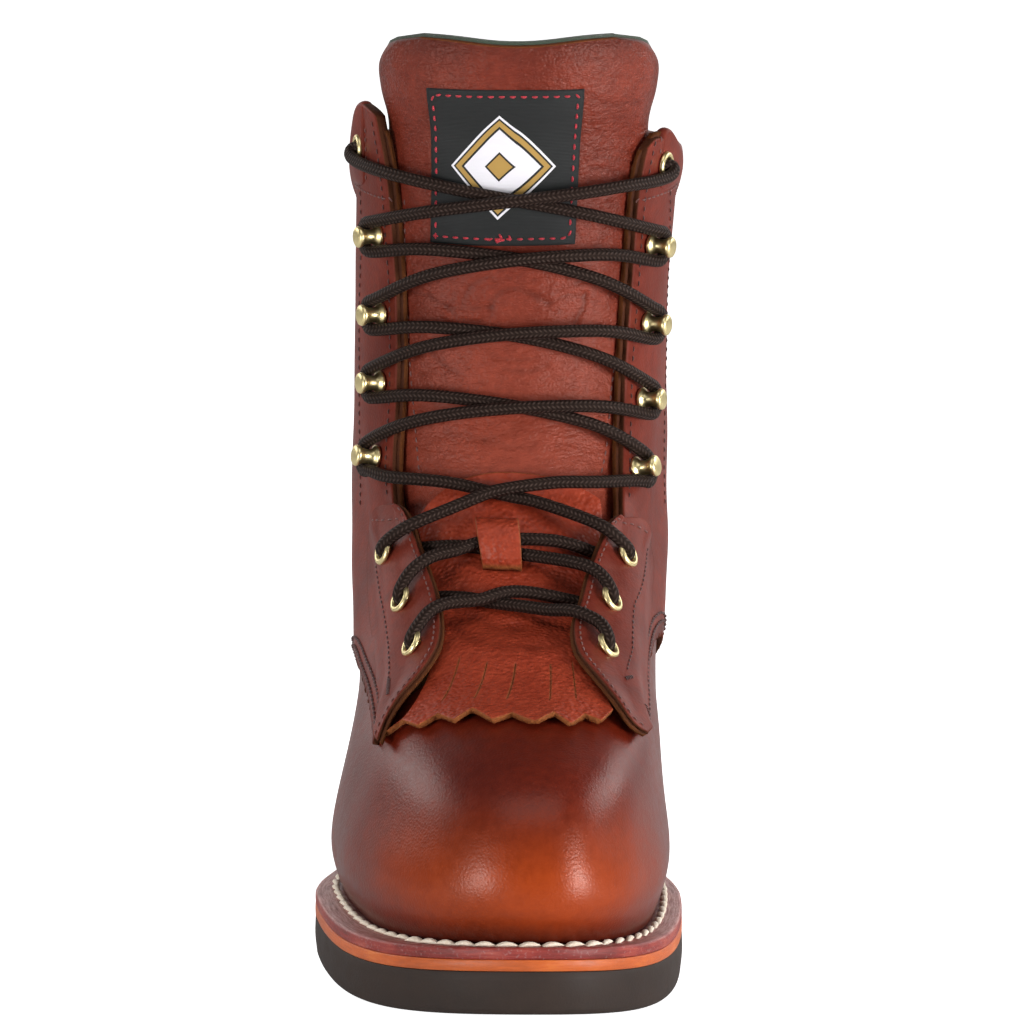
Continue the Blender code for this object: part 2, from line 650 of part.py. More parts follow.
# The two low crossings go from an eyelet over its flap and under the other flap
Route = namedtuple("Route", "level turn height")
LOW_LATERAL = [Route(98.5, 0.840, OVER_FLAP), Route(107.2, 0.935, 3.2), Route(113.0, 1.080, 0.8),
               Route(114.2, 1.130, -0.1)]
LOW_MEDIAL = [Route(97.8, 1.078, OVER_FLAP), Route(107.2, 0.940, 0.8), Route(110.7, 0.840, 0.2),
              Route(111.3, 0.805, -0.2)]
KEEPER_LATERAL = [Route(109.8, 0.822, OVER_FLAP), Route(121.5, 0.955, 2.6), Route(121.8, 0.985, 2.5),
                  Route(121.5, 1.100, 0.6), Route(121.2, 1.165, 0.0)]
KEEPER_MEDIAL = [Route(110.5, 1.115, OVER_FLAP), Route(121.8, 0.985, 0.3), Route(121.5, 0.955, 0.3),
                 Route(121.5, 0.850, 0.3), Route(121.2, 0.795, 0.0)]


def low_lace(eyelet, route):
    return [on_form(*eyelet, OVER_FLAP)] + [on_form(*spot) for spot in route]


crossed("lace_low_crossing", low_lace(EYELETS["lateral"][0], LOW_LATERAL),
        low_lace(EYELETS["medial"][0], LOW_MEDIAL))
crossed("lace_keeper_crossing", low_lace(EYELETS["lateral"][1], KEEPER_LATERAL),
        low_lace(EYELETS["medial"][1], KEEPER_MEDIAL))


# The hook lacing goes from the third eyelets over the hooks to the top eyelets
FLAP_EDGE = {"lateral": Route(121.5, 0.795, OVER_FLAP), "medial": Route(119.5, 1.160, OVER_FLAP)}
OUTWARD = {"lateral": -1, "medial": 1}
LACE_OVER, LACE_UNDER = 4.2, 1.7
LACE_BOW, TOP_BOW = 11.0, 4.0


def hook_lace(near, far, over):
    start = FLAP_EDGE[near]
    points = [on_form(*EYELETS[near][2], OVER_FLAP), on_form(*start)]
    height = METAL_SEAT + HOOK_LACE
    for number in range(4):
        place = HOOKS[far][number]
        end = Route(place.level - HOOK_WRAP, place.turn, height)
        points += span(start, end, LACE_OVER if over else LACE_UNDER, LACE_BOW)
        points += wrap(place, OUTWARD[far])
        start = Route(place.level + HOOK_WRAP, place.turn, height)
        near, far, over = far, near, not over
    end = Route(*TOP_EYELETS[far], METAL_SEAT + EYELET_RISE + 0.9 + LACE / 2)
    points += span(start, end, LACE_OVER if over else LACE_UNDER, TOP_BOW)
    return points + [on_form(*end)]


crossed("lace_hook_lacing", hook_lace("lateral", "medial", True), hook_lace("medial", "lateral", False))
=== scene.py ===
# %% [markdown]
# # A lace-up work boot
# The boot is a right one: a leather upper on a stitched welt and a rubber sole, laced up the
# front over a fringed false tongue. The imported model gives the frame, so the first step loads
# it and bakes each part's placement into its mesh.

# %% Load the frame
import math
from collections import namedtuple

import bmesh
import bpy
import numpy as np
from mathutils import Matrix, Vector
from mathutils.bvhtree import BVHTree


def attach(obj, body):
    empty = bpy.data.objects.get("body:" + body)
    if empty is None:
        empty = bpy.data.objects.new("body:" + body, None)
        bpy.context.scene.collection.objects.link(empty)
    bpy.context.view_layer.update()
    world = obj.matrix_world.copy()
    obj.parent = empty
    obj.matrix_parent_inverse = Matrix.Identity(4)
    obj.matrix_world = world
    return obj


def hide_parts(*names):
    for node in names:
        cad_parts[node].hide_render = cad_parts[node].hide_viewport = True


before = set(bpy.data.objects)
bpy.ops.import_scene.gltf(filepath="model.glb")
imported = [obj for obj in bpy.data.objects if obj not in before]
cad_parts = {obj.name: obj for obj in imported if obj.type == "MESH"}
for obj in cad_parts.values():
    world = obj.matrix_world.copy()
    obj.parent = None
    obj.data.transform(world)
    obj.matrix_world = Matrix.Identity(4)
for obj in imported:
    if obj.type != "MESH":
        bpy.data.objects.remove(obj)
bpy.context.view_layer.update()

MM = 0.001
scene = bpy.context.scene

# %% [markdown]
# ## Camera
# The boot was seen from the front, a little above its toe, through a long lens that keeps the
# sole and the collar the same width. Such a lens is set by its distance and its focal length.

# %% Camera
CAMERA_PLACE = (1.9, -2130.0, 550.0)
CAMERA_PITCH = 11.1
CAMERA_LENS = 239.06

eye = bpy.data.cameras.new("front_camera")
eye.lens = CAMERA_LENS
eye.sensor_width = 36.0
eye.clip_end = 50.0
camera = bpy.data.objects.new("front_camera", eye)
camera.location = Vector(CAMERA_PLACE) * MM
camera.rotation_euler = (math.radians(90 - CAMERA_PITCH), 0, 0)
scene.collection.objects.link(camera)
scene.camera = camera
print("camera at", tuple(round(c, 3) for c in camera.location))

# %% [markdown]
# ## The form of the last
# A shoe is drawn on a last, so every leather piece here is placed on one smooth form: rings from
# the sole up to the collar, with a spline between them. A place on it is a level (the height of
# the ring at the front), a turn (0 at the heel, 1 at the front, below 1 on the outer side) and a
# height over the leather. The rings are those of the solid model, so all pieces meet it.

# %% Rings of the form, in millimetres
Section = namedtuple("Section", "back_y back_rise front_y front_rise lat_rear lat_mid lat_fore "
                     "med_rear med_mid med_fore round_back round_lat round_med x_back x_front sag")
SOLE = Section(153, 0, -153, 0, 38, 50, 68.3, 37, 32.5, 47.2, 0.15, 0.40, 0.315, 5, 12, 1)
HEEL = Section(152, 0, 61, 0, 37, 37, 40, 36, 36, 35, 0.5, 0.04, 0.04, 5, 7, 1)
UPPER = [Section(*row) for row in (
    (144.0, 0, -143.5, 0, 32.5, 43.5, 60.0, 31.0, 25.0, 39.5, 0.14, 0.42, 0.33, 5, 12, 1.0),
    (147.5, 15, -147.5, 14, 35.5, 47.0, 63.5, 34.5, 30.0, 43.2, 0.15, 0.42, 0.33, 5, 12, 0.95),
    (148.5, 30, -146.0, 28, 36.5, 49.5, 61.5, 35.5, 34.5, 42.5, 0.16, 0.43, 0.35, 5, 12, 0.8),
    (147.0, 44, -138.0, 41, 37.0, 51.5, 57.5, 36.0, 38.5, 41.0, 0.17, 0.46, 0.38, 5, 12, 0.6),
    (144.5, 55, -121.0, 51, 37.5, 53.0, 54.5, 36.5, 41.5, 40.5, 0.19, 0.50, 0.44, 5, 12, 0.45),
    (142.0, 64, -97.0, 58, 38.0, 54.0, 52.5, 37.5, 43.5, 40.5, 0.21, 0.54, 0.50, 5, 11.5, 0.3),
    (140.0, 73, -69.0, 66, 39.0, 54.5, 52.0, 38.5, 45.5, 41.5, 0.24, 0.56, 0.54, 5, 10.5, 0.2),
    (138.5, 83, -40.0, 77, 40.5, 54.5, 51.5, 40.0, 47.5, 43.0, 0.28, 0.55, 0.54, 5, 9.0, 0.1),
    (137.5, 94, -12.0, 91, 43.0, 54.0, 51.0, 42.5, 49.0, 45.5, 0.33, 0.53, 0.53, 4.5, 7.0, 0.0),
    (137.0, 107, 9.0, 108, 46.0, 52.8, 51.0, 46.0, 50.5, 48.0, 0.39, 0.50, 0.50, 4, 5.0, 0.0),
    (137.5, 124, 21.0, 128, 48.5, 51.5, 51.0, 48.5, 51.0, 50.0, 0.44, 0.49, 0.49, 3.5, 4.0, 0.0),
    (139.5, 150, 27.0, 156, 50.5, 51.0, 51.0, 50.5, 51.5, 51.5, 0.48, 0.48, 0.48, 3.5, 3.5, 0.0),
    (142.0, 180, 28.0, 188, 51.5, 51.5, 51.5, 52.0, 52.5, 52.5, 0.50, 0.48, 0.48, 4.5, 4.5, 0.0),
    (145.0, 213, 26.0, 225, 52.5, 52.5, 52.5, 53.5, 54.0, 54.0, 0.50, 0.48, 0.48, 5.5, 5.5, 0.0),
    (147.0, 240, 22.0, 256, 53.0, 53.0, 53.0, 54.5, 54.5, 54.5, 0.50, 0.48, 0.48, 5.5, 5.5, 0.0),
)]
CENTRE_X = 2.1
HEEL_POWER, TOE_POWER = 2.0, 2.2
REAR_S, MID_S, FORE_S = 0.14, 0.44, 0.68

# %% Heights of the sole along the boot
GAP = 0.3
OUTSOLE_FORE, OUTSOLE_REAR, MIDSOLE, WELT, INSOLE = 13.5, 10.0, 3.0, 3.8, 5.0
HEEL_LIFT, TOE_SPRING = 20.0, 8.0
TOE_Y, BALL_FRONT_Y, WAIST_Y, BREAST_Y = -153.0, -85.0, -28.0, 60.0
UPPER_SEAT = 0.6
WALL = 2.4


def smooth(t):
    t = np.clip(t, 0, 1)
    return t * t * (3 - 2 * t)


def waist_share(y):
    t = np.clip((np.asarray(y, float) - WAIST_Y) / (BREAST_Y - WAIST_Y), 0, 1)
    return np.where(t < 0.5, 2 * t * t, 1 - 2 * (1 - t) ** 2)


def tread_z(y):
    toe = np.clip((BALL_FRONT_Y - np.asarray(y, float)) / (BALL_FRONT_Y - TOE_Y), 0, None)
    return HEEL_LIFT * waist_share(y) + TOE_SPRING * toe ** 2


def outsole_top(y):
    return tread_z(y) + OUTSOLE_FORE + (OUTSOLE_REAR - OUTSOLE_FORE) * waist_share(y)


def midsole_top(y):
    return outsole_top(y) + GAP + MIDSOLE


def welt_top(y):
    return midsole_top(y) + GAP + WELT


def feather_z(y):
    return welt_top(y) + UPPER_SEAT


FEATHER_BACK = float(feather_z(UPPER[0].back_y))
FEATHER_FRONT = float(feather_z(UPPER[0].front_y))
print("the upper starts", round(FEATHER_FRONT, 1), "mm over the floor at the toe")


# %% The form as a function
def natural_spline(knots, rows):
    """A curve through rows of values, one column per quantity."""
    knots, rows = np.asarray(knots, float), np.asarray(rows, float)
    count = len(knots)
    gaps = np.diff(knots)
    slopes = np.diff(rows, axis=0) / gaps[:, None]
    matrix = np.eye(count)
    bends = np.zeros_like(rows)
    for i in range(1, count - 1):
        matrix[i, i - 1:i + 2] = gaps[i - 1], 2 * (gaps[i - 1] + gaps[i]), gaps[i]
        bends[i] = 6 * (slopes[i] - slopes[i - 1])
    bends = np.linalg.solve(matrix, bends)

    def read(v):
        v = np.asarray(v, float)
        i = np.clip(np.searchsorted(knots, v) - 1, 0, count - 2)
        gap = gaps[i][..., None]
        a = (knots[i + 1] - v)[..., None] / gap
        b = 1 - a
        curve = (a ** 3 - a) * bends[i] + (b ** 3 - b) * bends[i + 1]
        return a * rows[i] + b * rows[i + 1] + curve * gap * gap / 6

    return read


RINGS = np.array(UPPER, float)
RUNS = np.diff(RINGS, axis=0)
RING_STEPS = np.hypot(RUNS[:, 0], RUNS[:, 1]) + np.hypot(RUNS[:, 2], RUNS[:, 3])
RING_KNOTS = np.append(0, np.cumsum(RING_STEPS)) / RING_STEPS.sum()
RING_SPLINE = natural_spline(RING_KNOTS, RINGS)
FINE = np.linspace(0, 1, 2001)
FINE_LEVELS = FEATHER_FRONT + RING_SPLINE(FINE)[:, 3]


def round_end(t, power):
    return (1 - (1 - np.clip(t, 0, 1)) ** power) ** (1 / power)


def plan(sec, theta):
    s = (1 - np.cos(theta)) / 2
    y = sec.back_y + (sec.front_y - sec.back_y) * s
    heel = round_end(s / sec.round_back, HEEL_POWER)
    rear = smooth((s - REAR_S) / (MID_S - REAR_S))
    fore = smooth((s - MID_S) / (FORE_S - MID_S))
    lat = sec.lat_rear + (sec.lat_mid - sec.lat_rear) * rear + (sec.lat_fore - sec.lat_mid) * fore
    med = sec.med_rear + (sec.med_mid - sec.med_rear) * rear + (sec.med_fore - sec.med_mid) * fore
    lat = -lat * heel * round_end((1 - s) / sec.round_lat, TOE_POWER)
    med = med * heel * round_end((1 - s) / sec.round_med, TOE_POWER)
    x = sec.x_back + (sec.x_front - sec.x_back) * s + np.where(np.sin(theta) > 0, lat, med)
    return x - CENTRE_X, y, s


def form(v, theta):
    v, theta = np.broadcast_arrays(np.asarray(v, float), np.asarray(theta, float))
    sec = Section(*np.moveaxis(RING_SPLINE(v), -1, 0))
    x, y, s = plan(sec, theta)
    straight = feather_z(sec.back_y) + (feather_z(sec.front_y) - feather_z(sec.back_y)) * s
    back_z = FEATHER_BACK + sec.back_rise
    z = back_z + (FEATHER_FRONT + sec.front_rise - back_z) * s + sec.sag * (feather_z(y) - straight)
    return np.stack([x, y, z], -1)


def form_normal(v, theta):
    across = form(v, theta + 1e-3) - form(v, theta - 1e-3)
    upward = form(v + 1e-3, theta) - form(v - 1e-3, theta)
    normal = np.cross(across, upward)
    return normal / np.linalg.norm(normal, axis=-1, keepdims=True)


def on_form(level, turn, height):
    """Points on the boot, in millimetres."""
    level, turn, height = np.broadcast_arrays(*(np.asarray(a, float) for a in (level, turn, height)))
    v = np.interp(level, FINE_LEVELS, FINE)
    theta = turn * math.pi
    return form(v, theta) + form_normal(v, theta) * height[..., None]


def normal_at(level, turn):
    return form_normal(np.interp(level, FINE_LEVELS, FINE), np.asarray(turn, float) * math.pi)


print("toe of the form", on_form(FEATHER_FRONT + 20, 1.0, 0).round(1))

# %% [markdown]
# ## Tools for nodes and meshes
# Each material and each node tree is put together with one small function that adds a node, sets
# it and links it. Each mesh goes through one function that makes a piece from points in
# millimetres, turns its faces outwards and gives it its material and its body.


# %% Nodes and colours
def linear(hex_colour):
    """The linear colour of an sRGB hex value."""
    raw = np.array([int(hex_colour[i:i + 2], 16) for i in (1, 3, 5)]) / 255
    line = np.where(raw <= 0.04045, raw / 12.92, ((raw + 0.055) / 1.055) ** 2.4)
    return (*line.tolist(), 1.0)


def add(tree, kind, inputs=None, **settings):
    """A new node; an input is a value, or the output of another node that is linked to it."""
    new = tree.nodes.new(kind)
    for name, value in settings.items():
        setattr(new, name, value)
    for socket, value in (inputs or {}).items():
        if isinstance(value, bpy.types.NodeSocket):
            tree.links.new(value, new.inputs[socket])
        else:
            new.inputs[socket].default_value = value
    return new


def per_metre(size_mm):
    """How often a pattern of this size repeats in a metre."""
    return 1000.0 / size_mm


def new_material(name, **constants):
    material = bpy.data.materials.new(name)
    material.use_nodes = True
    shader = material.node_tree.nodes["Principled BSDF"]
    for socket, value in constants.items():
        shader.inputs[socket.replace("_", " ")].default_value = value
    return material, material.node_tree, shader


def stops(ramp, *points):
    """Sets the stops of a colour ramp from pairs of a place and a hex colour."""
    ramp = ramp.color_ramp
    while len(ramp.elements) < len(points):
        ramp.elements.new(1.0)
    for element, (place, colour) in zip(ramp.elements, points):
        element.position = place
        element.color = linear(colour)


# %% Meshes and pieces
def new_piece(name, points, faces, material, values=None, loop_uv=None):
    """A closed piece that rides on the boot. Values are numbers per point that its material reads."""
    mesh = bpy.data.meshes.new(name)
    mesh.from_pydata((np.asarray(points) * MM).tolist(), [], faces)
    for key, numbers in (values or {}).items():
        layer = mesh.attributes.new(key, "FLOAT", "POINT")
        layer.data.foreach_set("value", np.ascontiguousarray(numbers, np.float32).ravel())
    if loop_uv is not None:
        layer = mesh.uv_layers.new(name="surface")
        layer.data.foreach_set("uv", np.ascontiguousarray(loop_uv, np.float32).ravel())
    work = bmesh.new()
    work.from_mesh(mesh)
    if work.calc_volume(signed=True) < 0:
        bmesh.ops.reverse_faces(work, faces=work.faces)
    work.to_mesh(mesh)
    work.free()
    return place_piece(name, mesh, material)


def place_piece(name, mesh, material):
    mesh.shade_smooth()
    mesh.materials.clear()
    mesh.materials.append(material)
    obj = bpy.data.objects.new(name, mesh)
    scene.collection.objects.link(obj)
    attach(obj, "root")
    mesh.calc_loop_triangles()
    print(name, len(mesh.loop_triangles), "triangles")
    return obj


def quads(rows, columns, start=0, flip=False):
    corner = start + (np.arange(rows - 1)[:, None] * columns + np.arange(columns - 1)).ravel()
    faces = np.stack([corner, corner + columns, corner + columns + 1, corner + 1], 1)
    return (faces[:, ::-1] if flip else faces).tolist()


def rim(rows, columns):
    """Border points of a grid, in order."""
    index = np.arange(rows * columns).reshape(rows, columns)
    return np.concatenate([index[0, :-1], index[:-1, -1], index[-1, :0:-1], index[:0:-1, 0]])


INNER_STEP = 4


def skin(name, outer, inner, material, slot, **values):
    """A closed leather piece: a fine outer grid, a coarser inner one and the cut edge between."""
    rows, columns = outer.shape[:2]
    back = inner[::INNER_STEP, ::INNER_STEP]
    start = rows * columns
    faces = quads(rows, columns) + quads(*back.shape[:2], start, True)
    fine, coarse = rim(rows, columns), rim(*back.shape[:2]) + start
    for i in range(len(coarse)):
        edge = [int(fine[(i * INNER_STEP + k) % len(fine)]) for k in range(INNER_STEP + 1)]
        faces.append(edge + [int(coarse[(i + 1) % len(coarse)]), int(coarse[i])])
    points = np.concatenate([outer.reshape(-1, 3), back.reshape(-1, 3)])
    unseen = np.zeros(len(points) - start)
    given = {key: np.append(np.broadcast_to(v, (rows, columns)), unseen) for key, v in values.items()}
    cut = np.zeros(len(points))
    cut[fine] = cut[coarse] = 1
    given["raw"] = np.maximum(cut, given.get("raw", 0))
    given["inside"] = np.append(np.zeros(start), unseen + 1)
    return new_piece(name, points, faces, material, given)


def lipped(count, lip):
    """Shares from 0 to 1 with a close pair at each end, so that an edge can be rounded."""
    count = (count - 1) // INNER_STEP * INNER_STEP + 1
    return np.concatenate([[0.0], np.linspace(lip, 1 - lip, count - 2), [1.0]])


def between(ends, share):
    return ends[0] + (ends[1] - ends[0]) * share


def trace(controls, count):
    """A smooth line through given rows of values, as one array per column."""
    knots = np.arange(len(controls))
    return natural_spline(knots, controls)(np.linspace(0, knots[-1], count)).T


# %% [markdown]
# ## Leathers
# The vamp and quarters are waxed cowhide: smooth, a little mottled, with fine pores that only show
# in the highlights, and browner round the toe, which is partly a burnish and partly painted light
# on the lit bulge. The tongue and fringe are a softer, tumbled hide with a pebbled grain. Cut edges
# show the fibres inside. Each leather mixes a dark and a light tone by soft noise, and its cut edge
# and flesh side come from numbers on the mesh, as do its toe tone (burnish and painted light) and a
# painted shade that darkens creases, recesses and parts that get less light.

# %% Leather
# The colour that painted shade darkens towards; the shade sits in creases, recesses and parts that get less
# light.
PAINTED_SHADE_TONE, FLESH_SIDE, CUT_SHADOW = "#2a100c", "#8c6a4b", "#2b140c"


def leather(name, dark, light, grain_mm, relief_mm, rough, gloss, wrinkle_mm=0.0,
            toe="#93381a", raw="#54301c"):
    material, tree, shader = new_material(name, IOR=1.45, Specular_IOR_Level=gloss,
                                          Specular_Tint=linear("#ffdcd2"))
    place = add(tree, "ShaderNodeTexCoord").outputs["Object"]
    cloud, mottle, fibre = (
        add(tree, "ShaderNodeTexNoise", {"Vector": place, "Scale": per_metre(size_mm), "Detail": detail,
                                         "Roughness": fine}).outputs["Fac"]
        for size_mm, detail, fine in ((26, 5.0, 0.6), (3.2, 4.0, 0.7), (0.9, 6.0, 0.75)))
    # The toe tone is a burnish on the vamp and painted light on the vamp and tongue; the second mask is
    # painted shade.
    burnish, shade, inside, cut = (
        add(tree, "ShaderNodeAttribute", attribute_name=key).outputs["Fac"]
        for key in ("burnish", "shade", "inside", "raw"))
    blend = add(tree, "ShaderNodeMath", {0: cloud, 1: mottle}, operation="MULTIPLY").outputs[0]
    share = add(tree, "ShaderNodeMapRange", {"Value": blend, "From Min": 0.13, "From Max": 0.38}).outputs[0]
    patchy = add(tree, "ShaderNodeMath", {0: share, 1: 0.35, 2: 0.78}, operation="MULTIPLY_ADD").outputs[0]
    spread = add(tree, "ShaderNodeMath", {0: burnish, 1: patchy}, operation="MULTIPLY", use_clamp=True)
    edge = add(tree, "ShaderNodeMix", {0: fibre, 6: linear(CUT_SHADOW), 7: linear(raw)}, data_type="RGBA")
    tone = linear(dark)
    for part, colour in ((share, linear(light)), (spread.outputs[0], linear(toe)),
                         (shade, linear(PAINTED_SHADE_TONE)), (inside, linear(FLESH_SIDE)), (cut, edge.outputs[2])):
        tone = add(tree, "ShaderNodeMix", {0: part, 6: tone, 7: colour}, data_type="RGBA").outputs[2]
    dull = add(tree, "ShaderNodeMath", {0: mottle, 1: 0.22, 2: rough - 0.11}, operation="MULTIPLY_ADD")
    dry = add(tree, "ShaderNodeMath", {0: cut, 1: 0.4, 2: dull.outputs[0]}, operation="MULTIPLY_ADD")
    cells = add(tree, "ShaderNodeTexVoronoi",
                {"Vector": place, "Scale": per_metre(grain_mm), "Smoothness": 0.5}, feature="SMOOTH_F1")
    pebble = add(tree, "ShaderNodeMapRange",
                 {"Value": cells.outputs["Distance"], "From Max": 0.75, "To Min": 1.0, "To Max": 0.0})
    grain = add(tree, "ShaderNodeBump",
                {"Strength": 0.7, "Distance": relief_mm * MM, "Height": pebble.outputs[0]})
    nap = add(tree, "ShaderNodeMath", {0: cut, 1: 0.35 * MM, 2: 0.05 * MM}, operation="MULTIPLY_ADD")
    last = add(tree, "ShaderNodeBump", {"Strength": 0.6, "Distance": nap.outputs[0], "Height": fibre,
                                        "Normal": grain.outputs[0]})
    if wrinkle_mm:
        flat = add(tree, "ShaderNodeMapping", {"Vector": place, "Scale": (0.6, 0.6, 1.4)}).outputs[0]
        folds = add(tree, "ShaderNodeTexVoronoi",
                    {"Vector": flat, "Scale": per_metre(4.2), "Detail": 3.0, "Roughness": 0.65})
        last = add(tree, "ShaderNodeBump",
                   {"Strength": 0.5, "Distance": wrinkle_mm * MM, "Height": folds.outputs["Distance"],
                    "Normal": last.outputs[0]}, invert=True)
    tree.links.new(tone, shader.inputs["Base Color"])
    tree.links.new(dry.outputs[0], shader.inputs["Roughness"])
    tree.links.new(last.outputs[0], shader.inputs["Normal"])
    return material


# Deep red-brown with soft highlights, turning orange round the toe: partly a burnish, partly painted light.
WAXED_HIDE = leather("waxed_cowhide_vamp", "#52150a", "#681e0d", 0.8, 0.06, 0.34, 0.45, toe="#98390f")
# A paler, duller red-brown that hazes towards the light.
QUARTER_HIDE = leather("waxed_cowhide_quarter", "#5f2319", "#7a3327", 0.9, 0.06, 0.42, 0.16, raw="#5a3420")
# Warm red with fine wrinkles across it; its toe tone is painted light on the tongue.
TUMBLED_HIDE = leather("tumbled_cowhide", "#622114", "#7d3020", 0.9, 0.2, 0.45, 0.42, 0.7,
                       toe="#a24a36", raw="#a85a2a")
# The reddest leather, with a coarse grain that sparkles a little.
KILTIE_HIDE = leather("pebbled_cowhide", "#892e1a", "#a84128", 1.5, 0.45, 0.42, 0.45, raw="#b0642f")
# Dry dark brown, seen only as thin edges beside the facings.
LINING_HIDE = leather("lining_cowhide", "#3f2215", "#5e341f", 1.0, 0.1, 0.68, 0.2, raw="#71411f")
print("leathers made")

# %% [markdown]
# ## Threads, cord, metal, felt and label
# The welt is sewn with thick cream linen, the upper with thin dark nylon, the label with red
# thread. The laces are a round braid: columns of slanting strands whose slant turns over from one
# column to the next, which a wave along the cord folded round it gives. The eyelets and hooks are
# polished brass.


# %% Threads
def thread(name, colour, shadow, twist_mm):
    material, tree, shader = new_material(name, Roughness=0.62, Sheen_Weight=0.15)
    place = add(tree, "ShaderNodeTexCoord").outputs["Object"]
    fibre = add(tree, "ShaderNodeTexNoise",
                {"Vector": place, "Scale": per_metre(twist_mm), "Detail": 4.0}).outputs["Fac"]
    tone = add(tree, "ShaderNodeMix", {0: fibre, 6: linear(shadow), 7: linear(colour)}, data_type="RGBA")
    relief = add(tree, "ShaderNodeBump", {"Strength": 0.6, "Distance": 0.12 * MM, "Height": fibre})
    tree.links.new(tone.outputs[2], shader.inputs["Base Color"])
    tree.links.new(relief.outputs[0], shader.inputs["Normal"])
    return material


CREAM_LINEN = thread("cream_linen_thread", "#fff8ec", "#dcc5a3", 0.7)
DARK_NYLON = thread("dark_nylon_thread", "#5c322d", "#2a1311", 0.5)
MAUVE_NYLON = thread("mauve_nylon_thread", "#855750", "#4c2925", 0.5)
RED_THREAD = thread("red_polyester_thread", "#d2283a", "#7c0f1c", 0.5)

# %% Braided cord, brown-black with small paler grains in rows: painted light on the crowns of the strands and painted shade between them
BRAID_COLUMNS, BRAID_PITCH, BRAID_SLANT = 8.0, 1.5, 0.8


def braid():
    material, tree, shader = new_material("braided_polyester_cord", Roughness=0.6, Specular_IOR_Level=0.18,
                                          Specular_Tint=linear("#ffd9c4"))
    flat = add(tree, "ShaderNodeUVMap", uv_map="surface").outputs[0]
    split = add(tree, "ShaderNodeSeparateXYZ", {0: flat}).outputs
    column = add(tree, "ShaderNodeMath", {0: split[1], 1: BRAID_COLUMNS}, operation="MULTIPLY").outputs[0]
    fold = add(tree, "ShaderNodeMath", {0: column, 1: 1.0}, operation="PINGPONG").outputs[0]
    along = add(tree, "ShaderNodeMath", {0: split[0], 1: 1.0 / BRAID_PITCH}, operation="MULTIPLY").outputs[0]
    slanted = add(tree, "ShaderNodeMath", {0: fold, 1: BRAID_SLANT, 2: along}, operation="MULTIPLY_ADD")
    turns = add(tree, "ShaderNodeMath", {0: slanted.outputs[0], 1: math.tau}, operation="MULTIPLY")
    wave = add(tree, "ShaderNodeMath", {0: turns.outputs[0]}, operation="SINE")
    strand = add(tree, "ShaderNodeMath", {0: wave.outputs[0], 1: 0.5, 2: 0.5}, operation="MULTIPLY_ADD")
    half = add(tree, "ShaderNodeMath", {0: column, 1: math.pi}, operation="MULTIPLY")
    swell = add(tree, "ShaderNodeMath", {0: half.outputs[0]}, operation="SINE")
    rib = add(tree, "ShaderNodeMath", {0: swell.outputs[0]}, operation="ABSOLUTE")
    lift = add(tree, "ShaderNodeMath", {0: strand.outputs[0], 1: rib.outputs[0]}, operation="MULTIPLY")
    # The colour follows the same height as the bump: painted shade in the grooves between strands, painted
    # light on their crowns.
    tone = add(tree, "ShaderNodeValToRGB", {0: lift.outputs[0]})
    stops(tone, (0.0, "#160f0d"), (0.5, "#271d1a"), (1.0, "#483c37"))
    relief = add(tree, "ShaderNodeBump", {"Strength": 0.9, "Distance": 0.28 * MM, "Height": lift.outputs[0]})
    tree.links.new(tone.outputs[0], shader.inputs["Base Color"])
    tree.links.new(relief.outputs[0], shader.inputs["Normal"])
    return material


# %% Brass, felt and label
def brass():
    """Pale gold, polished but handled, so its highlights are soft."""
    material, tree, shader = new_material("polished_brass", Metallic=1.0, Base_Color=linear("#efdca4"))
    place = add(tree, "ShaderNodeTexCoord").outputs["Object"]
    haze = add(tree, "ShaderNodeTexNoise", {"Vector": place, "Scale": per_metre(1.6), "Detail": 3.0})
    rough = add(tree, "ShaderNodeMapRange", {"Value": haze.outputs["Fac"], "To Min": 0.30, "To Max": 0.42})
    tree.links.new(rough.outputs[0], shader.inputs["Roughness"])
    return material


def felt():
    """Dark green and fluffy, a thin line along the top of the tongue."""
    material, tree, shader = new_material("green_wool_felt", Roughness=0.95, Sheen_Weight=0.4)
    place = add(tree, "ShaderNodeTexCoord").outputs["Object"]
    fluff = add(tree, "ShaderNodeTexNoise", {"Vector": place, "Scale": per_metre(0.8), "Detail": 6.0,
                                             "Roughness": 0.8}).outputs["Fac"]
    tone = add(tree, "ShaderNodeMix", {0: fluff, 6: linear("#1f2a22"), 7: linear("#55624f")},
               data_type="RGBA")
    relief = add(tree, "ShaderNodeBump", {"Strength": 0.9, "Distance": 0.5 * MM, "Height": fluff})
    tree.links.new(tone.outputs[2], shader.inputs["Base Color"])
    tree.links.new(relief.outputs[0], shader.inputs["Normal"])
    return material


SATIN, GOLD, PALE = "#232424", "#b08d4c", "#e9e6ec"
LABEL_RIBS = 110


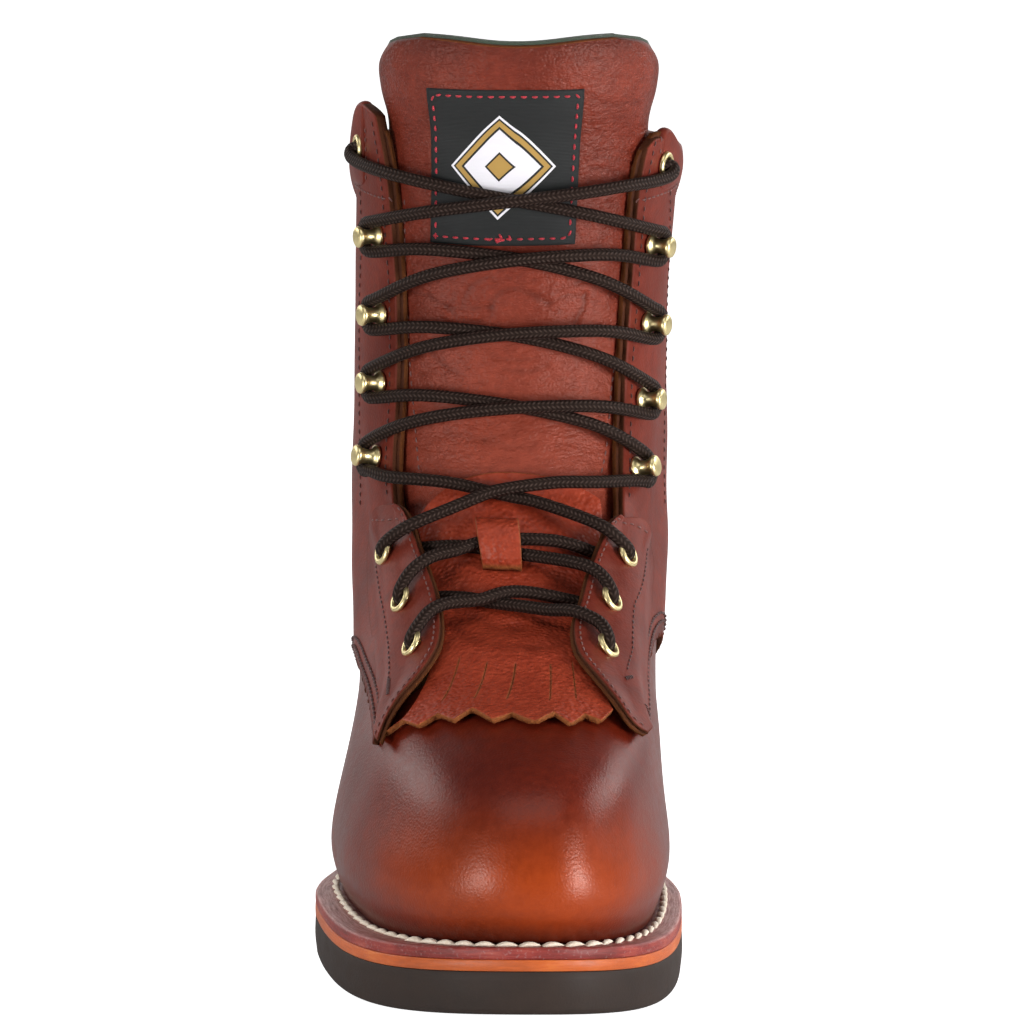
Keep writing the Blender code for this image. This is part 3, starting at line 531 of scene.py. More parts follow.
def woven_label():
    """Black satin with nested diamonds woven in pale and gold thread."""
    material, tree, shader = new_material("woven_satin_label", Roughness=0.6, Specular_IOR_Level=0.25)
    flat = add(tree, "ShaderNodeUVMap", uv_map="surface").outputs[0]
    split = add(tree, "ShaderNodeSeparateXYZ", {0: flat}).outputs
    off = [add(tree, "ShaderNodeMath", {0: split[axis], 1: 0.5}, operation="SUBTRACT") for axis in (0, 1)]
    far = [add(tree, "ShaderNodeMath", {0: node.outputs[0]}, operation="ABSOLUTE").outputs[0] for node in off]
    diamond = add(tree, "ShaderNodeMath", {0: far[0], 1: far[1]}, operation="ADD")
    motif = add(tree, "ShaderNodeValToRGB", {0: diamond.outputs[0]})
    motif.color_ramp.interpolation = "CONSTANT"
    stops(motif, (0.0, GOLD), (0.075, SATIN), (0.09, PALE), (0.235, SATIN), (0.255, GOLD), (0.30, SATIN),
          (0.315, PALE), (0.335, SATIN))
    rib = add(tree, "ShaderNodeMath", {0: split[1], 1: LABEL_RIBS * math.tau}, operation="MULTIPLY")
    ribs = add(tree, "ShaderNodeMath", {0: rib.outputs[0]}, operation="SINE")
    relief = add(tree, "ShaderNodeBump", {"Strength": 0.35, "Distance": 0.1 * MM, "Height": ribs.outputs[0]})
    tree.links.new(motif.outputs[0], shader.inputs["Base Color"])
    tree.links.new(relief.outputs[0], shader.inputs["Normal"])
    return material


BRAID, BRASS, FELT, LABEL = braid(), brass(), felt(), woven_label()
print("threads, cord, metal, felt and label made")

# %% [markdown]
# ## Sole materials
# The outsole is black rubber with a skin of tiny pits and pale specks. The midsole edge is leather
# stained orange. The welt is a strip of dark leather whose fibres run along it, scuffed pale where
# it turns, where a pale painted sheen is laid on as well, stronger away from the front of the toe.
# The streaks follow the strip, so they read a map laid along it in millimetres.


# %% Rubber
def rubber():
    """Brown-black and matt, with a few dark and pale specks."""
    material, tree, shader = new_material("moulded_black_rubber", IOR=1.5, Specular_IOR_Level=0.3)
    place = add(tree, "ShaderNodeTexCoord").outputs["Object"]
    cloud = add(tree, "ShaderNodeTexNoise", {"Vector": place, "Scale": per_metre(9), "Detail": 6.0,
                                             "Roughness": 0.65}).outputs["Fac"]
    pores = add(tree, "ShaderNodeTexNoise", {"Vector": place, "Scale": per_metre(0.9), "Detail": 4.0})
    specks = add(tree, "ShaderNodeTexVoronoi", {"Vector": place, "Scale": per_metre(5.0)}).outputs
    dot = add(tree, "ShaderNodeMapRange", {"Value": specks["Distance"], "From Min": 0.05, "From Max": 0.075,
                                           "To Min": 1.0, "To Max": 0.0}).outputs[0]
    odd = add(tree, "ShaderNodeSeparateColor", {0: specks["Color"]}).outputs
    few = add(tree, "ShaderNodeMath", {0: odd[0], 1: 0.8}, operation="GREATER_THAN").outputs[0]
    shown = add(tree, "ShaderNodeMath", {0: dot, 1: few}, operation="MULTIPLY").outputs[0]
    pale = add(tree, "ShaderNodeMath", {0: odd[1], 1: 0.45}, operation="GREATER_THAN").outputs[0]
    plain, spot = (
        add(tree, "ShaderNodeMix", {0: part, 6: linear(first), 7: linear(second)}, data_type="RGBA").outputs[2]
        for part, first, second in ((cloud, "#221915", "#382b24"), (pale, "#0c0a09", "#8d8278")))
    tone = add(tree, "ShaderNodeMix", {0: shown, 6: plain, 7: spot}, data_type="RGBA")
    dull = add(tree, "ShaderNodeMapRange", {"Value": cloud, "To Min": 0.5, "To Max": 0.78})
    relief = add(tree, "ShaderNodeBump",
                 {"Strength": 0.5, "Distance": 0.12 * MM, "Height": pores.outputs["Fac"]})
    pits = add(tree, "ShaderNodeBump", {"Strength": 0.8, "Distance": 0.4 * MM, "Height": shown,
                                        "Normal": relief.outputs[0]}, invert=True)
    tree.links.new(tone.outputs[2], shader.inputs["Base Color"])
    tree.links.new(dull.outputs[0], shader.inputs["Roughness"])
    tree.links.new(pits.outputs[0], shader.inputs["Normal"])
    return material


# %% Welt, midsole and insole leather
SCUFFED, RUBBED_AND_SHEEN = "#a88f8c", "#c9a49d"


def strip_leather(name, dark, mid, pale, rough, scuff):
    """Leather whose fibres run along a strip; its map is in millimetres along and across."""
    material, tree, shader = new_material(name, IOR=1.5)
    flat = add(tree, "ShaderNodeUVMap", uv_map="surface").outputs[0]
    place = add(tree, "ShaderNodeTexCoord").outputs["Object"]
    pulled, wide = (
        add(tree, "ShaderNodeMapping", {"Vector": flat, "Scale": (1 / along, 1 / across, 1.0)}).outputs[0]
        for along, across in ((7.0, 0.8), (16.0, 9.0)))
    streak = add(tree, "ShaderNodeTexNoise",
                 {"Vector": pulled, "Scale": 1.0, "Detail": 6.0, "Roughness": 0.7}).outputs["Fac"]
    cloud = add(tree, "ShaderNodeTexNoise", {"Vector": wide, "Scale": 1.0, "Detail": 3.0}).outputs["Fac"]
    fleck = add(tree, "ShaderNodeTexNoise",
                {"Vector": place, "Scale": per_metre(1.1), "Detail": 5.0}).outputs["Fac"]
    # This mask paints both wear and a pale painted sheen on the turn of the strip.
    wear_and_sheen = add(tree, "ShaderNodeAttribute", attribute_name="wear_and_sheen").outputs["Fac"]
    both = add(tree, "ShaderNodeMath", {0: streak, 1: cloud}, operation="ADD").outputs[0]
    mean = add(tree, "ShaderNodeMath", {0: both, 1: 0.5}, operation="MULTIPLY").outputs[0]
    tone = add(tree, "ShaderNodeValToRGB", {0: mean})
    stops(tone, (0.34, dark), (0.52, mid), (0.70, pale))
    scuffed = add(tree, "ShaderNodeMapRange",
                  {"Value": fleck, "From Min": 0.56, "From Max": 0.70, "To Max": scuff}).outputs[0]
    streaky = add(tree, "ShaderNodeMapRange", {"Value": streak, "From Min": 0.36, "From Max": 0.62}).outputs[0]
    rubbed_and_sheen = add(tree, "ShaderNodeMath", {0: streaky, 1: wear_and_sheen}, operation="MULTIPLY").outputs[0]
    done = tone.outputs[0]
    for part, colour in ((scuffed, SCUFFED), (rubbed_and_sheen, RUBBED_AND_SHEEN)):
        done = add(tree, "ShaderNodeMix", {0: part, 6: done, 7: linear(colour)}, data_type="RGBA").outputs[2]
    dull = add(tree, "ShaderNodeMapRange", {"Value": streak, "To Min": rough - 0.12, "To Max": rough + 0.12})
    coarse = add(tree, "ShaderNodeBump", {"Strength": 0.6, "Distance": 0.25 * MM, "Height": both})
    fine = add(tree, "ShaderNodeBump", {"Strength": 0.5, "Distance": 0.15 * MM, "Height": fleck,
                                        "Normal": coarse.outputs[0]})
    tree.links.new(done, shader.inputs["Base Color"])
    tree.links.new(dull.outputs[0], shader.inputs["Roughness"])
    tree.links.new(fine.outputs[0], shader.inputs["Normal"])
    return material


RUBBER = rubber()
# Dark red, streaked and scuffed; then bright orange; then plain tan.
WELT_LEATHER = strip_leather("welt_shoulder_leather", "#601813", "#8c2d25", "#b85d4a", 0.5, 0.35)
MIDSOLE_LEATHER = strip_leather("stained_midsole_leather", "#a64b1a", "#c25b21", "#d37331", 0.45, 0.06)
INSOLE_LEATHER = strip_leather("insole_leather", "#a87c52", "#b98e62", "#c79d70", 0.65, 0.05)
print("sole materials made")

# %% [markdown]
# ## Sole layers
# The sole is built up as a shoemaker does it: rubber outsole and heel, a stained midsole, a welt,
# and inside it the insole. All share one outline, so each layer is a stack of loops round that
# outline at its own inset and height. A loop has enough points to stay smooth in the bent waist.

# %% Loops round the sole
AROUND = 320


def outline(sec, inset, count=AROUND):
    share = np.arange(count // 2 + 1) * 2 / count
    half = (share + 0.05 * np.sin(2 * math.pi * share)) * math.pi
    theta = np.concatenate([half, 2 * math.pi - half[-2:0:-1]])
    x, y, _ = plan(sec, theta)
    ahead, behind = plan(sec, theta + 1e-3), plan(sec, theta - 1e-3)
    along = np.stack([ahead[0] - behind[0], ahead[1] - behind[1]], -1)
    along /= np.linalg.norm(along, axis=-1, keepdims=True)
    return x - along[:, 1] * inset, y + along[:, 0] * inset


def loops_of(rows):
    """Loops round the boot, from rows of a section, an inset, a height line and the lift over it."""
    loops = []
    for sec, inset, height, lift in rows:
        x, y = outline(sec, inset)
        loops.append(np.stack([x, y, height(y) + lift], -1))
    return loops


def ring_uv(loops, faces, count):
    """A map along and across the layer, in millimetres, for each corner of its faces."""
    first = loops[0]
    along = np.append(0, np.cumsum(np.linalg.norm(np.roll(first, -1, 0) - first, axis=1)))
    steps = [np.linalg.norm(b - a, axis=1).mean() for a, b in zip(loops, loops[1:])]
    across = np.append(0, np.cumsum(steps))
    uv = []
    for face in faces:
        columns = [i % count for i in face]
        wraps = max(columns) - min(columns) > count // 2 and len(face) == 4
        for i, column in zip(face, columns):
            at = count if wraps and column == 0 else column
            uv.append((along[at], across[min(i // count, len(across) - 1)]))
    return uv


def layer(name, node, loops, material, slot, closed_ring=False, values=None):
    """A sole layer skinned through loops from its top edge down, closed across the boot or as a ring."""
    count = len(loops[0])
    faces = []
    for i in range(len(loops) - (0 if closed_ring else 1)):
        a, b = i * count, (i + 1) % len(loops) * count
        for j in range(count):
            k = (j + 1) % count
            faces.append([a + j, b + j, b + k, a + k])
    if not closed_ring:
        last = (len(loops) - 1) * count
        for j in range(count // 2):
            top = [j, j + 1, count - j - 1, (count - j) % count]
            faces.append(list(dict.fromkeys(top)))
            faces.append([last + p for p in dict.fromkeys(top[::-1])])
    uv = ring_uv(loops, faces, count)
    piece = new_piece(name, np.concatenate(loops), faces, material, values, uv)
    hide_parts(node)


# %% Outsole and heel
SIDE_BULGE = 0.35
outsole_rows = [(SOLE, 2.0, outsole_top, 0.0), (SOLE, 0.3, outsole_top, 0.0),
                (SOLE, 0.0, outsole_top, -0.35)]
for step in np.arange(1, 6) / 6:
    bulge = SIDE_BULGE * math.sin(step * math.pi)
    outsole_rows.append((SOLE, 0.3 * step - bulge, tread_z, 12.0 - 9.6 * step))
for angle in np.radians(np.arange(0, 91, 15)):
    inset = 0.3 + 1.8 * (1 - math.cos(angle))
    outsole_rows.append((SOLE, inset, tread_z, 2.0 * (1 - math.sin(angle))))
layer("outsole_rubber", "outsole", loops_of(outsole_rows), RUBBER, "sole_rubber")


def floor_z(y):
    return 0 * y


HEEL_EDGE = ((1.5, HEEL_LIFT - 0.05), (0.2, HEEL_LIFT - 0.05), (0.0, HEEL_LIFT - 0.4), (0.2, 12.0),
             (0.5, 3.0), (0.9, 1.4), (1.5, 0.5), (2.4, 0.0))
heel_loops = loops_of([(HEEL, inset, floor_z, z) for inset, z in HEEL_EDGE])
layer("heel_block", "heel", heel_loops, RUBBER, "sole_rubber")

# %% Midsole, welt and insole
midsole_loops = loops_of([
    (SOLE, 2.0, midsole_top, 0.25), (SOLE, 0.15, midsole_top, 0.25), (SOLE, -0.05, midsole_top, 0.0),
    (SOLE, -0.1, midsole_top, -1.5), (SOLE, -0.05, outsole_top, 0.2), (SOLE, 0.15, outsole_top, 0.03),
    (SOLE, 2.0, outsole_top, 0.03)])
layer("midsole_layer", "midsole", midsole_loops, MIDSOLE_LEATHER, "midsole_leather")

FEATHER = UPPER[0]
welt_loops = loops_of([
    (FEATHER, WALL, welt_top, 0.2), (FEATHER, -0.6, welt_top, 0.25), (SOLE, 3.2, welt_top, 0.05),
    (SOLE, 1.0, welt_top, -0.02), (SOLE, 0.35, welt_top, -0.2), (SOLE, 0.0, welt_top, -0.75),
    (SOLE, -0.05, midsole_top, 1.9), (SOLE, 0.05, midsole_top, 0.7), (SOLE, 0.3, midsole_top, 0.3),
    (FEATHER, WALL, midsole_top, 0.3)])
# The top and rounded edge of the welt are rubbed pale: wear, and a painted sheen that grows away from the
# front of the toe.
SHEEN_AND_WEAR_LOOPS, SHEEN_AND_WEAR_AMOUNT = range(1, 5), 0.85
welt_wear_and_sheen = [smooth((ring[:, 1] + 150) / 70) * (SHEEN_AND_WEAR_AMOUNT if order in SHEEN_AND_WEAR_LOOPS else 0.0)
             for order, ring in enumerate(welt_loops)]
layer("welt_strip", "welt", welt_loops, WELT_LEATHER, "welt_leather", True,
      {"wear_and_sheen": np.concatenate(welt_wear_and_sheen)})

INSOLE_TOP = GAP + INSOLE
insole_loops = loops_of([
    (FEATHER, WALL + 3.0, midsole_top, INSOLE_TOP), (FEATHER, WALL + 1.5, midsole_top, INSOLE_TOP - 0.2),
    (FEATHER, WALL + 1.3, midsole_top, INSOLE_TOP - 0.8), (FEATHER, WALL + 1.3, midsole_top, GAP)])
layer("insole_board", "insole", insole_loops, INSOLE_LEATHER, "insole_leather")

# %% [markdown]
# ## Vamp
# The vamp is the plain round front of the boot, pulled over the toe. It runs from the welt up under
# the fringe and the quarters, so its upper edge is a line a little above theirs. It is a grid on the
# form with a faint unevenness as hand-pulled leather has. Its toe tone is partly a burnish round the
# nose and partly painted light on the lit bulge, and its lower edge by the welt has painted shade.

# %% Edge of the quarters over the vamp, as rows of turn and level
ARCH_LATERAL = [(0.335, 27.0), (0.365, 34.0), (0.40, 48.0), (0.45, 66.5), (0.495, 77.0), (0.53, 80.4),
                (0.58, 81.0), (0.635, 79.6), (0.675, 76.6), (0.70, 73.0)]
ARCH_MEDIAL = [(0.335, 27.0), (0.365, 35.0), (0.40, 51.0), (0.45, 70.0), (0.50, 81.5), (0.56, 86.5),
               (0.62, 87.0), (0.665, 84.6), (0.694, 80.0), (0.715, 76.8)]
ARCHES = [natural_spline(rows[:, 0], rows[:, 1:]) for rows in map(np.array, (ARCH_LATERAL, ARCH_MEDIAL))]


ARCH_REACH = (0.335, 0.73)


def arch_level(turn):
    """Lower edge of the quarters; turn is below 0 on the inner side, as it runs round the heel."""
    away = np.clip(np.abs(turn), *ARCH_REACH)
    level = np.where(np.asarray(turn) > 0, ARCHES[0](away)[..., 0], ARCHES[1](away)[..., 0])
    return np.maximum(level, FEATHER_FRONT)


RIPPLES = ((1.0, 0.4, 0.7, 0.3), (-0.6, 1.1, 0.5, 1.9), (0.3, -0.8, 1.2, 4.1), (1.3, 0.9, -0.4, 2.7))


def ripple(points, size_mm):
    """Soft unevenness between -1 and 1, the same on every run."""
    waves = [np.sin((points @ np.array(way)) * math.tau / size_mm + shift) for *way, shift in RIPPLES]
    return sum(waves) / len(waves)


# %% Vamp
LIP = 0.4
VAMP_BACK, VAMP_OVERLAP = 0.325, 7.0
UNDER_FRINGE = ((0, 97), (0.12, 97), (0.28, 82), (0.34, 40))
vamp_turn = np.interp(lipped(341, 0.002), [0, 0.5, 1], [VAMP_BACK, 1.0, 2 - VAMP_BACK])[None, :]
vamp_share = lipped(105, 0.006)[:, None]
from_front = np.abs(vamp_turn - 1)
vamp_side = np.where(vamp_turn < 1, vamp_turn, vamp_turn - 2)
under_fringe = np.interp(from_front, *np.transpose(UNDER_FRINGE))
vamp_top = np.maximum(arch_level(vamp_side) + VAMP_OVERLAP, under_fringe)
vamp_level = FEATHER_FRONT + (vamp_top - FEATHER_FRONT) * vamp_share
vamp_rest = on_form(vamp_level, vamp_turn, 0)
vamp_z = vamp_rest[..., 2]
vamp_nose = 0.6 * np.exp(-((vamp_z - 37) / 9) ** 2) - 0.9 * np.exp(-((vamp_z - 58) / 11) ** 2)
vamp_nose = vamp_nose * smooth((0.42 - from_front) / 0.2) * smooth(vamp_share / 0.2)
vamp_outer = on_form(vamp_level, vamp_turn, 0.25 * ripple(vamp_rest, 38.0) + vamp_nose)
vamp_outer[0] = on_form(vamp_level[0], vamp_turn[0], -1.0) - np.array([0, 0, 0.8])
# The toe tone is partly a burnish and partly painted light: strongest on the lit bulge of the nose, fading
# towards the welt and the sides. Painted shade darkens the lower edge by the welt.
toe_share = smooth((74 - vamp_z) / 30) * smooth((-70 - vamp_rest[..., 1]) / 50)
low_share = smooth((vamp_z - 26) / 15)
nose_share = smooth((0.32 - from_front) / 0.26)
vamp = skin("vamp", vamp_outer, on_form(vamp_level, vamp_turn, -2.0), WAXED_HIDE, "upper_leather",
            burnish=toe_share * (0.12 + 0.88 * low_share) * (0.2 + 0.8 * nose_share),
            shade=0.6 * (1 - smooth((vamp_z - welt_top(vamp_rest[..., 1])) / 9.0)))
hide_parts("upper")

# %% [markdown]
# ## Quarters
# The quarters are one panel that goes from the outer facing round the heel to the inner facing. Its
# lower edge lies over the vamp in a high arch on both sides, so the panel stands a leather's
# thickness proud there and settles onto the form above. Its front edges are the facings.

# %% Facings and top line; a facing row is a level and the turns of the outer and inner edge
FACING = np.array([
    (60.0, 0.700, 0.715), (78.0, 0.702, 0.728), (92.0, 0.715, 0.748), (110.0, 0.725, 0.757),
    (127.0, 0.740, 0.764), (138.0, 0.747, 0.769), (160.0, 0.768, 0.771), (193.5, 0.773, 0.765),
    (216.0, 0.757, 0.762), (238.0, 0.733, 0.752), (256.0, 0.697, 0.715)])
FACING_SPLINE = natural_spline(FACING[:, 0], FACING[:, 1:])
COLLAR_LATERAL, COLLAR_BACK, COLLAR_MEDIAL = 256.0, 237.0, 250.5
DIP_LATERAL, DIP_MEDIAL, DIP_RUN = 0.45, 0.53, 0.19
QUARTER_STEP, QUARTER_REST, FACING_STEP = 1.9, 0.25, 0.8
CORNER_LATERAL, CORNER_MEDIAL = 4.0, 9.0
SIDES = {"lateral": 1, "medial": -1}
SHAFT_TURN_MM, HEEL_TURN_MM = 165, 260
CORNER_TURN = 0.7


def facing_turn(level, lateral):
    both = FACING_SPLINE(np.clip(level, FACING[0, 0], FACING[-1, 0]))
    return np.where(lateral, both[..., 0], -both[..., 1])


def collar_level(turn):
    """Top line of the shaft, which dips behind the facings; turn runs below 0 on the inner side."""
    lateral = np.asarray(turn) > 0
    front = np.where(lateral, COLLAR_LATERAL, COLLAR_MEDIAL)
    start = np.where(lateral, DIP_LATERAL, DIP_MEDIAL)
    return COLLAR_BACK + (front - COLLAR_BACK) * smooth((np.abs(turn) - start) / DIP_RUN)


def quarter_height(level, turn):
    """How far the quarter stands over the form: proud along the arch and the facing."""
    away = np.hypot(level - arch_level(turn), HEEL_TURN_MM * np.clip(0.36 - np.abs(turn), 0, None))
    edge = np.abs(facing_turn(level, turn > 0)) - np.abs(turn)
    facing = FACING_STEP * (1 - smooth(edge * SHAFT_TURN_MM / 16)) * smooth((level - 105) / 20)
    tight = np.exp(-((level - 94) / 13) ** 2 - ((np.asarray(turn) + 0.63) / 0.07) ** 2)
    return QUARTER_REST + QUARTER_STEP * np.exp(-(away / 26) ** 2) + facing - tight


# %% Quarters
quarter_side = np.interp(lipped(333, 0.0016), [0, 0.5, 1], [1, 0, -1])[None, :]
quarter_share = lipped(181, 0.0022)[:, None]
quarter_low = arch_level(quarter_side * np.where(quarter_side > 0, *FACING[0, 1:]))
corner = np.clip((np.abs(quarter_side) - 0.86) / 0.14, 0, 1)
corner_drop = np.where(quarter_side > 0, CORNER_LATERAL, CORNER_MEDIAL)
quarter_high = collar_level(quarter_side * CORNER_TURN) - corner_drop * (1 - np.sqrt(1 - 0.96 * corner ** 2))
quarter_level = quarter_low + (quarter_high - quarter_low) * quarter_share
fray = 0.35 * np.sin(quarter_side * 610) + 0.3 * np.sin(quarter_side * 377 + 1.0)
quarter_level = quarter_level + fray * (1 - smooth(quarter_share / 0.012)) * (np.abs(quarter_side) > 0.5)
quarter_turn = np.abs(quarter_side) * facing_turn(quarter_level, quarter_side > 0)
quarter_rest = on_form(quarter_level, quarter_turn, 0)
quarter_lift = quarter_height(quarter_level, quarter_turn) + 0.3 * ripple(quarter_rest, 46.0)
quarter_lift[[0, -1]] -= LIP
quarter_lift[:, [0, -1]] -= LIP
over_arch = quarter_level - arch_level(quarter_turn)
over_vamp = (over_arch < 9) & (np.abs(quarter_turn) > 0.34)
quarter_deep = np.where(over_vamp, np.minimum(quarter_lift - 1.5, 0.25), -WALL)
# Painted shade darkens the quarters towards the welt; along the arch edge the darker band is painted shade
# together with the edge's worn darkening.
welt_shade = 0.4 * (1 - smooth((quarter_rest[..., 2] - welt_top(quarter_rest[..., 1])) / 4.0))
arch_shade = 0.6 * np.exp(-(over_arch / 1.2) ** 2) * (np.abs(quarter_turn) > 0.36)
quarters = skin("quarters", on_form(quarter_level, quarter_turn, quarter_lift),
                on_form(quarter_level, quarter_turn, quarter_deep), QUARTER_HIDE, "upper_leather",
                shade=np.maximum(welt_shade, arch_shade))
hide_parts("upper")

# %% Facing linings
LINING_BEYOND, LINING_BACK, LINING_LOW = 1.5, 16.0, 122.0
for side, sign in SIDES.items():
    level = np.linspace(LINING_LOW, float(collar_level(sign * CORNER_TURN)) - 3.0, 93)[:, None]
    edge = 5.0 - (5.0 + LINING_BEYOND) * smooth((level[-1] - level) / 9.0 + 0.15)
    out = edge + (LINING_BACK - edge) * lipped(17, 0.02)[None, :]
    turn = facing_turn(level, sign > 0) - sign * out / SHAFT_TURN_MM
    height = -0.85 + 0 * turn
    height[:, 0] += 0.12 * np.sin(level[:, 0] * 2.1) + 0.1 * np.sin(level[:, 0] * 3.7) - 0.3
    # The facing linings are darkened all over with painted shade, as they lie in the gap beside the facings;
    # the flap linings are not.
    lining = skin("facing_lining_" + side, on_form(level, turn, height), on_form(level, turn, -2.6),
                  LINING_HIDE, "upper_leather", shade=0.25)
    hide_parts("upper")

# %% [markdown]
# ## Quarter flaps
# Below the hooks each facing spreads into a flap that carries the lower eyelets. Its front edge
# lies over the fringe, so it is lifted there; its back runs flush into the quarter, where only a
# row of stitches shows; its top ends in a rounded tab over the hook facing.

# %% Flaps, as rows of level and turn at the front edge, and level and turn at the back
FLAPS = {
    "lateral": [(74.4, 0.728, 75.0, 0.706), (78.8, 0.735, 78.5, 0.690), (83.0, 0.757, 81.5, 0.672),
                (86.9, 0.786, 85.0, 0.650), (91.4, 0.817, 89.0, 0.626), (95.4, 0.836, 93.5, 0.608),
                (100.6, 0.842, 99.0, 0.595), (106.8, 0.835, 104.5, 0.592), (112.6, 0.820, 110.0, 0.602),
                (118.9, 0.806, 115.5, 0.640), (123.4, 0.799, 120.5, 0.672), (126.6, 0.788, 124.5, 0.705),
                (127.8, 0.770, 126.6, 0.735)],
    "medial": [(77.6, 1.240, 78.0, 1.272), (80.4, 1.202, 79.8, 1.285), (83.8, 1.174, 82.5, 1.305),
               (87.7, 1.144, 86.0, 1.330), (91.7, 1.111, 90.0, 1.360), (95.4, 1.089, 94.5, 1.382),
               (100.3, 1.087, 99.5, 1.398), (104.9, 1.106, 104.0, 1.402), (110.4, 1.125, 108.5, 1.385),
               (115.6, 1.146, 113.0, 1.350), (120.4, 1.168, 117.0, 1.318), (123.4, 1.182, 120.5, 1.288),
               (124.9, 1.203, 123.2, 1.255)],
}
FLAP, FLAP_LIFT, FLAP_TOP, FLAP_BEYOND, FLAP_LIP = 2.2, 2.6, 1.2, 1.5, 1.2
FLAP_ROWS = len(FLAPS["lateral"]) - 1


def flap_height(turn):
    away = np.abs(np.asarray(turn, float) - 1)
    return GAP + FLAP + FLAP_LIFT * (1 - smooth((away - 0.28) / 0.11))


def flap_place(side, along, across):
    """Level, turn and height of the flap; along runs from tip to tab, across from front to back."""
    read = natural_spline(np.arange(FLAP_ROWS + 1), FLAPS[side])(along)
    front_level, front_turn, back_level, back_turn = np.moveaxis(read, -1, 0)
    level = between((front_level, back_level), across)
    turn = between((front_turn, back_turn), across)
    flush = smooth((across - 0.5) / 0.5) * (1 - smooth((level - 109) / 9))
    lip = FLAP_LIP * (1 - smooth(across / 0.3)) * smooth((along - 0.4) / 2)
    settled = quarter_height(level, np.where(turn > 1, turn - 2, turn)) + 0.22
    return level, turn, flap_height(turn) * (1 - flush) + settled * flush + lip


flap_pieces = {}
for side in FLAPS:
    along = np.linspace(0, FLAP_ROWS, 101)[:, None]
    level, turn, height = flap_place(side, along, lipped(61, 0.008)[None, :])
    height = height + 0.12 * ripple(on_form(level, turn, 0), 22.0)
    rolled = height.copy()
    rolled[:, 0] -= LIP
    rolled[[0, -1]] -= LIP
    flap_pieces[side] = skin(f"quarter_flap_{side}_skin", on_form(level, turn, rolled),
                             on_form(level, turn, height - FLAP_TOP), QUARTER_HIDE, "upper_leather")
    front, back = (on_form(*flap_place(side, along, np.array([[share]]))) for share in (0.0, 1.0))
    beyond = FLAP_BEYOND / np.linalg.norm(front - back, axis=-1)
    level, turn, height = flap_place(side, along, (0.9 + beyond) * lipped(29, 0.02)[None, :] - beyond)
    rolled = height - FLAP_TOP - 0.05
    rolled[:, 0] -= 0.3
    lining = skin(f"quarter_flap_{side}_lining", on_form(level, turn, rolled),
                  on_form(level, turn, height - FLAP), LINING_HIDE, "upper_leather")
    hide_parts("quarter_flap_" + side)
    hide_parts("quarter_flap_" + side)

# %% [markdown]
# ## Collar
# A soft padded band runs round the back of the shaft and rolls over its top edge. It is a closed
# section swept round the boot: out over the padding, over the rim and a little way down inside.

# %% Padded collar; a puff row is a turn and the padding there
COLLAR_LOW, COLLAR_LOW_BACK = 227.0, 216.0
COLLAR_ENDS, ROLL_OVER, COLLAR_COLUMNS = (0.640, -0.688), 1.6, 181
COLLAR_PUFFS = ((-0.70, 0.5), (-0.64, 1.0), (-0.56, 1.8), (0.50, 3.0), (0.58, 2.6), (0.65, 0.8))
INSIDE_ROWS = ((4.0, -WALL - 1.2), (9.0, -WALL - 1.0), (13.0, -WALL - 0.3), (11.0, -1.4), (0.5, -1.0))


def collar_seam_level(turn):
    return COLLAR_LOW_BACK + (COLLAR_LOW - COLLAR_LOW_BACK) * smooth((np.abs(turn) - 0.40) / 0.18)


collar_turn = np.linspace(*COLLAR_ENDS, COLLAR_COLUMNS)
collar_end = np.where(collar_turn > 0, COLLAR_ENDS[0], -COLLAR_ENDS[1])
near_end = np.clip(1 + (np.abs(collar_turn) - collar_end) / 0.05, 0, 1)
end_round = 1 - np.sqrt(1 - 0.97 * near_end ** 2)
collar_top = collar_level(collar_turn) - np.where(collar_turn > 0, 3.0, 8.0) * end_round
collar_low = collar_seam_level(collar_turn) + 3.0 * end_round
taper = np.sin(np.linspace(0.02, 0.98, COLLAR_COLUMNS) * math.pi) ** 0.3
collar_full = np.interp(collar_turn, *np.transpose(COLLAR_PUFFS)) * taper
sections = []
for share in np.linspace(0, 1, 25):
    puff = 0.5 + collar_full * math.sin((0.02 + 0.82 * share) * math.pi) ** 0.7
    sections.append(on_form(between((collar_low, collar_top), share), collar_turn, puff))
radius = (puff + WALL + 0.8) / 2
for angle in np.radians(np.arange(22.5, 181, 22.5)):
    height = puff - radius + radius * math.cos(angle)
    sections.append(on_form(collar_top + ROLL_OVER * math.sin(angle), collar_turn, height))
for drop, depth in INSIDE_ROWS:
    sections.append(on_form(collar_top - drop, collar_turn, depth))
sections.append(on_form(collar_low, collar_turn, -0.6))

faces = []
for i in range(len(sections)):
    a, b = i * COLLAR_COLUMNS, (i + 1) % len(sections) * COLLAR_COLUMNS
    faces += [[a + j, b + j, b + j + 1, a + j + 1] for j in range(COLLAR_COLUMNS - 1)]
first_end = [i * COLLAR_COLUMNS for i in range(len(sections))]
faces.append(first_end[::-1])
faces.append([i + COLLAR_COLUMNS - 1 for i in first_end])
collar = new_piece("padded_collar", np.concatenate(sections), faces, QUARTER_HIDE)
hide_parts("collar")

# %% [markdown]
# ## Tongue
# The tongue is a padded leaf of tumbled leather that stands above the collar, with rounded corners
# and a green felt lining that shows as a thin line along the top. Wear has left creases across it,
# which are listed here as soft troughs, each with its ends, width and depth.

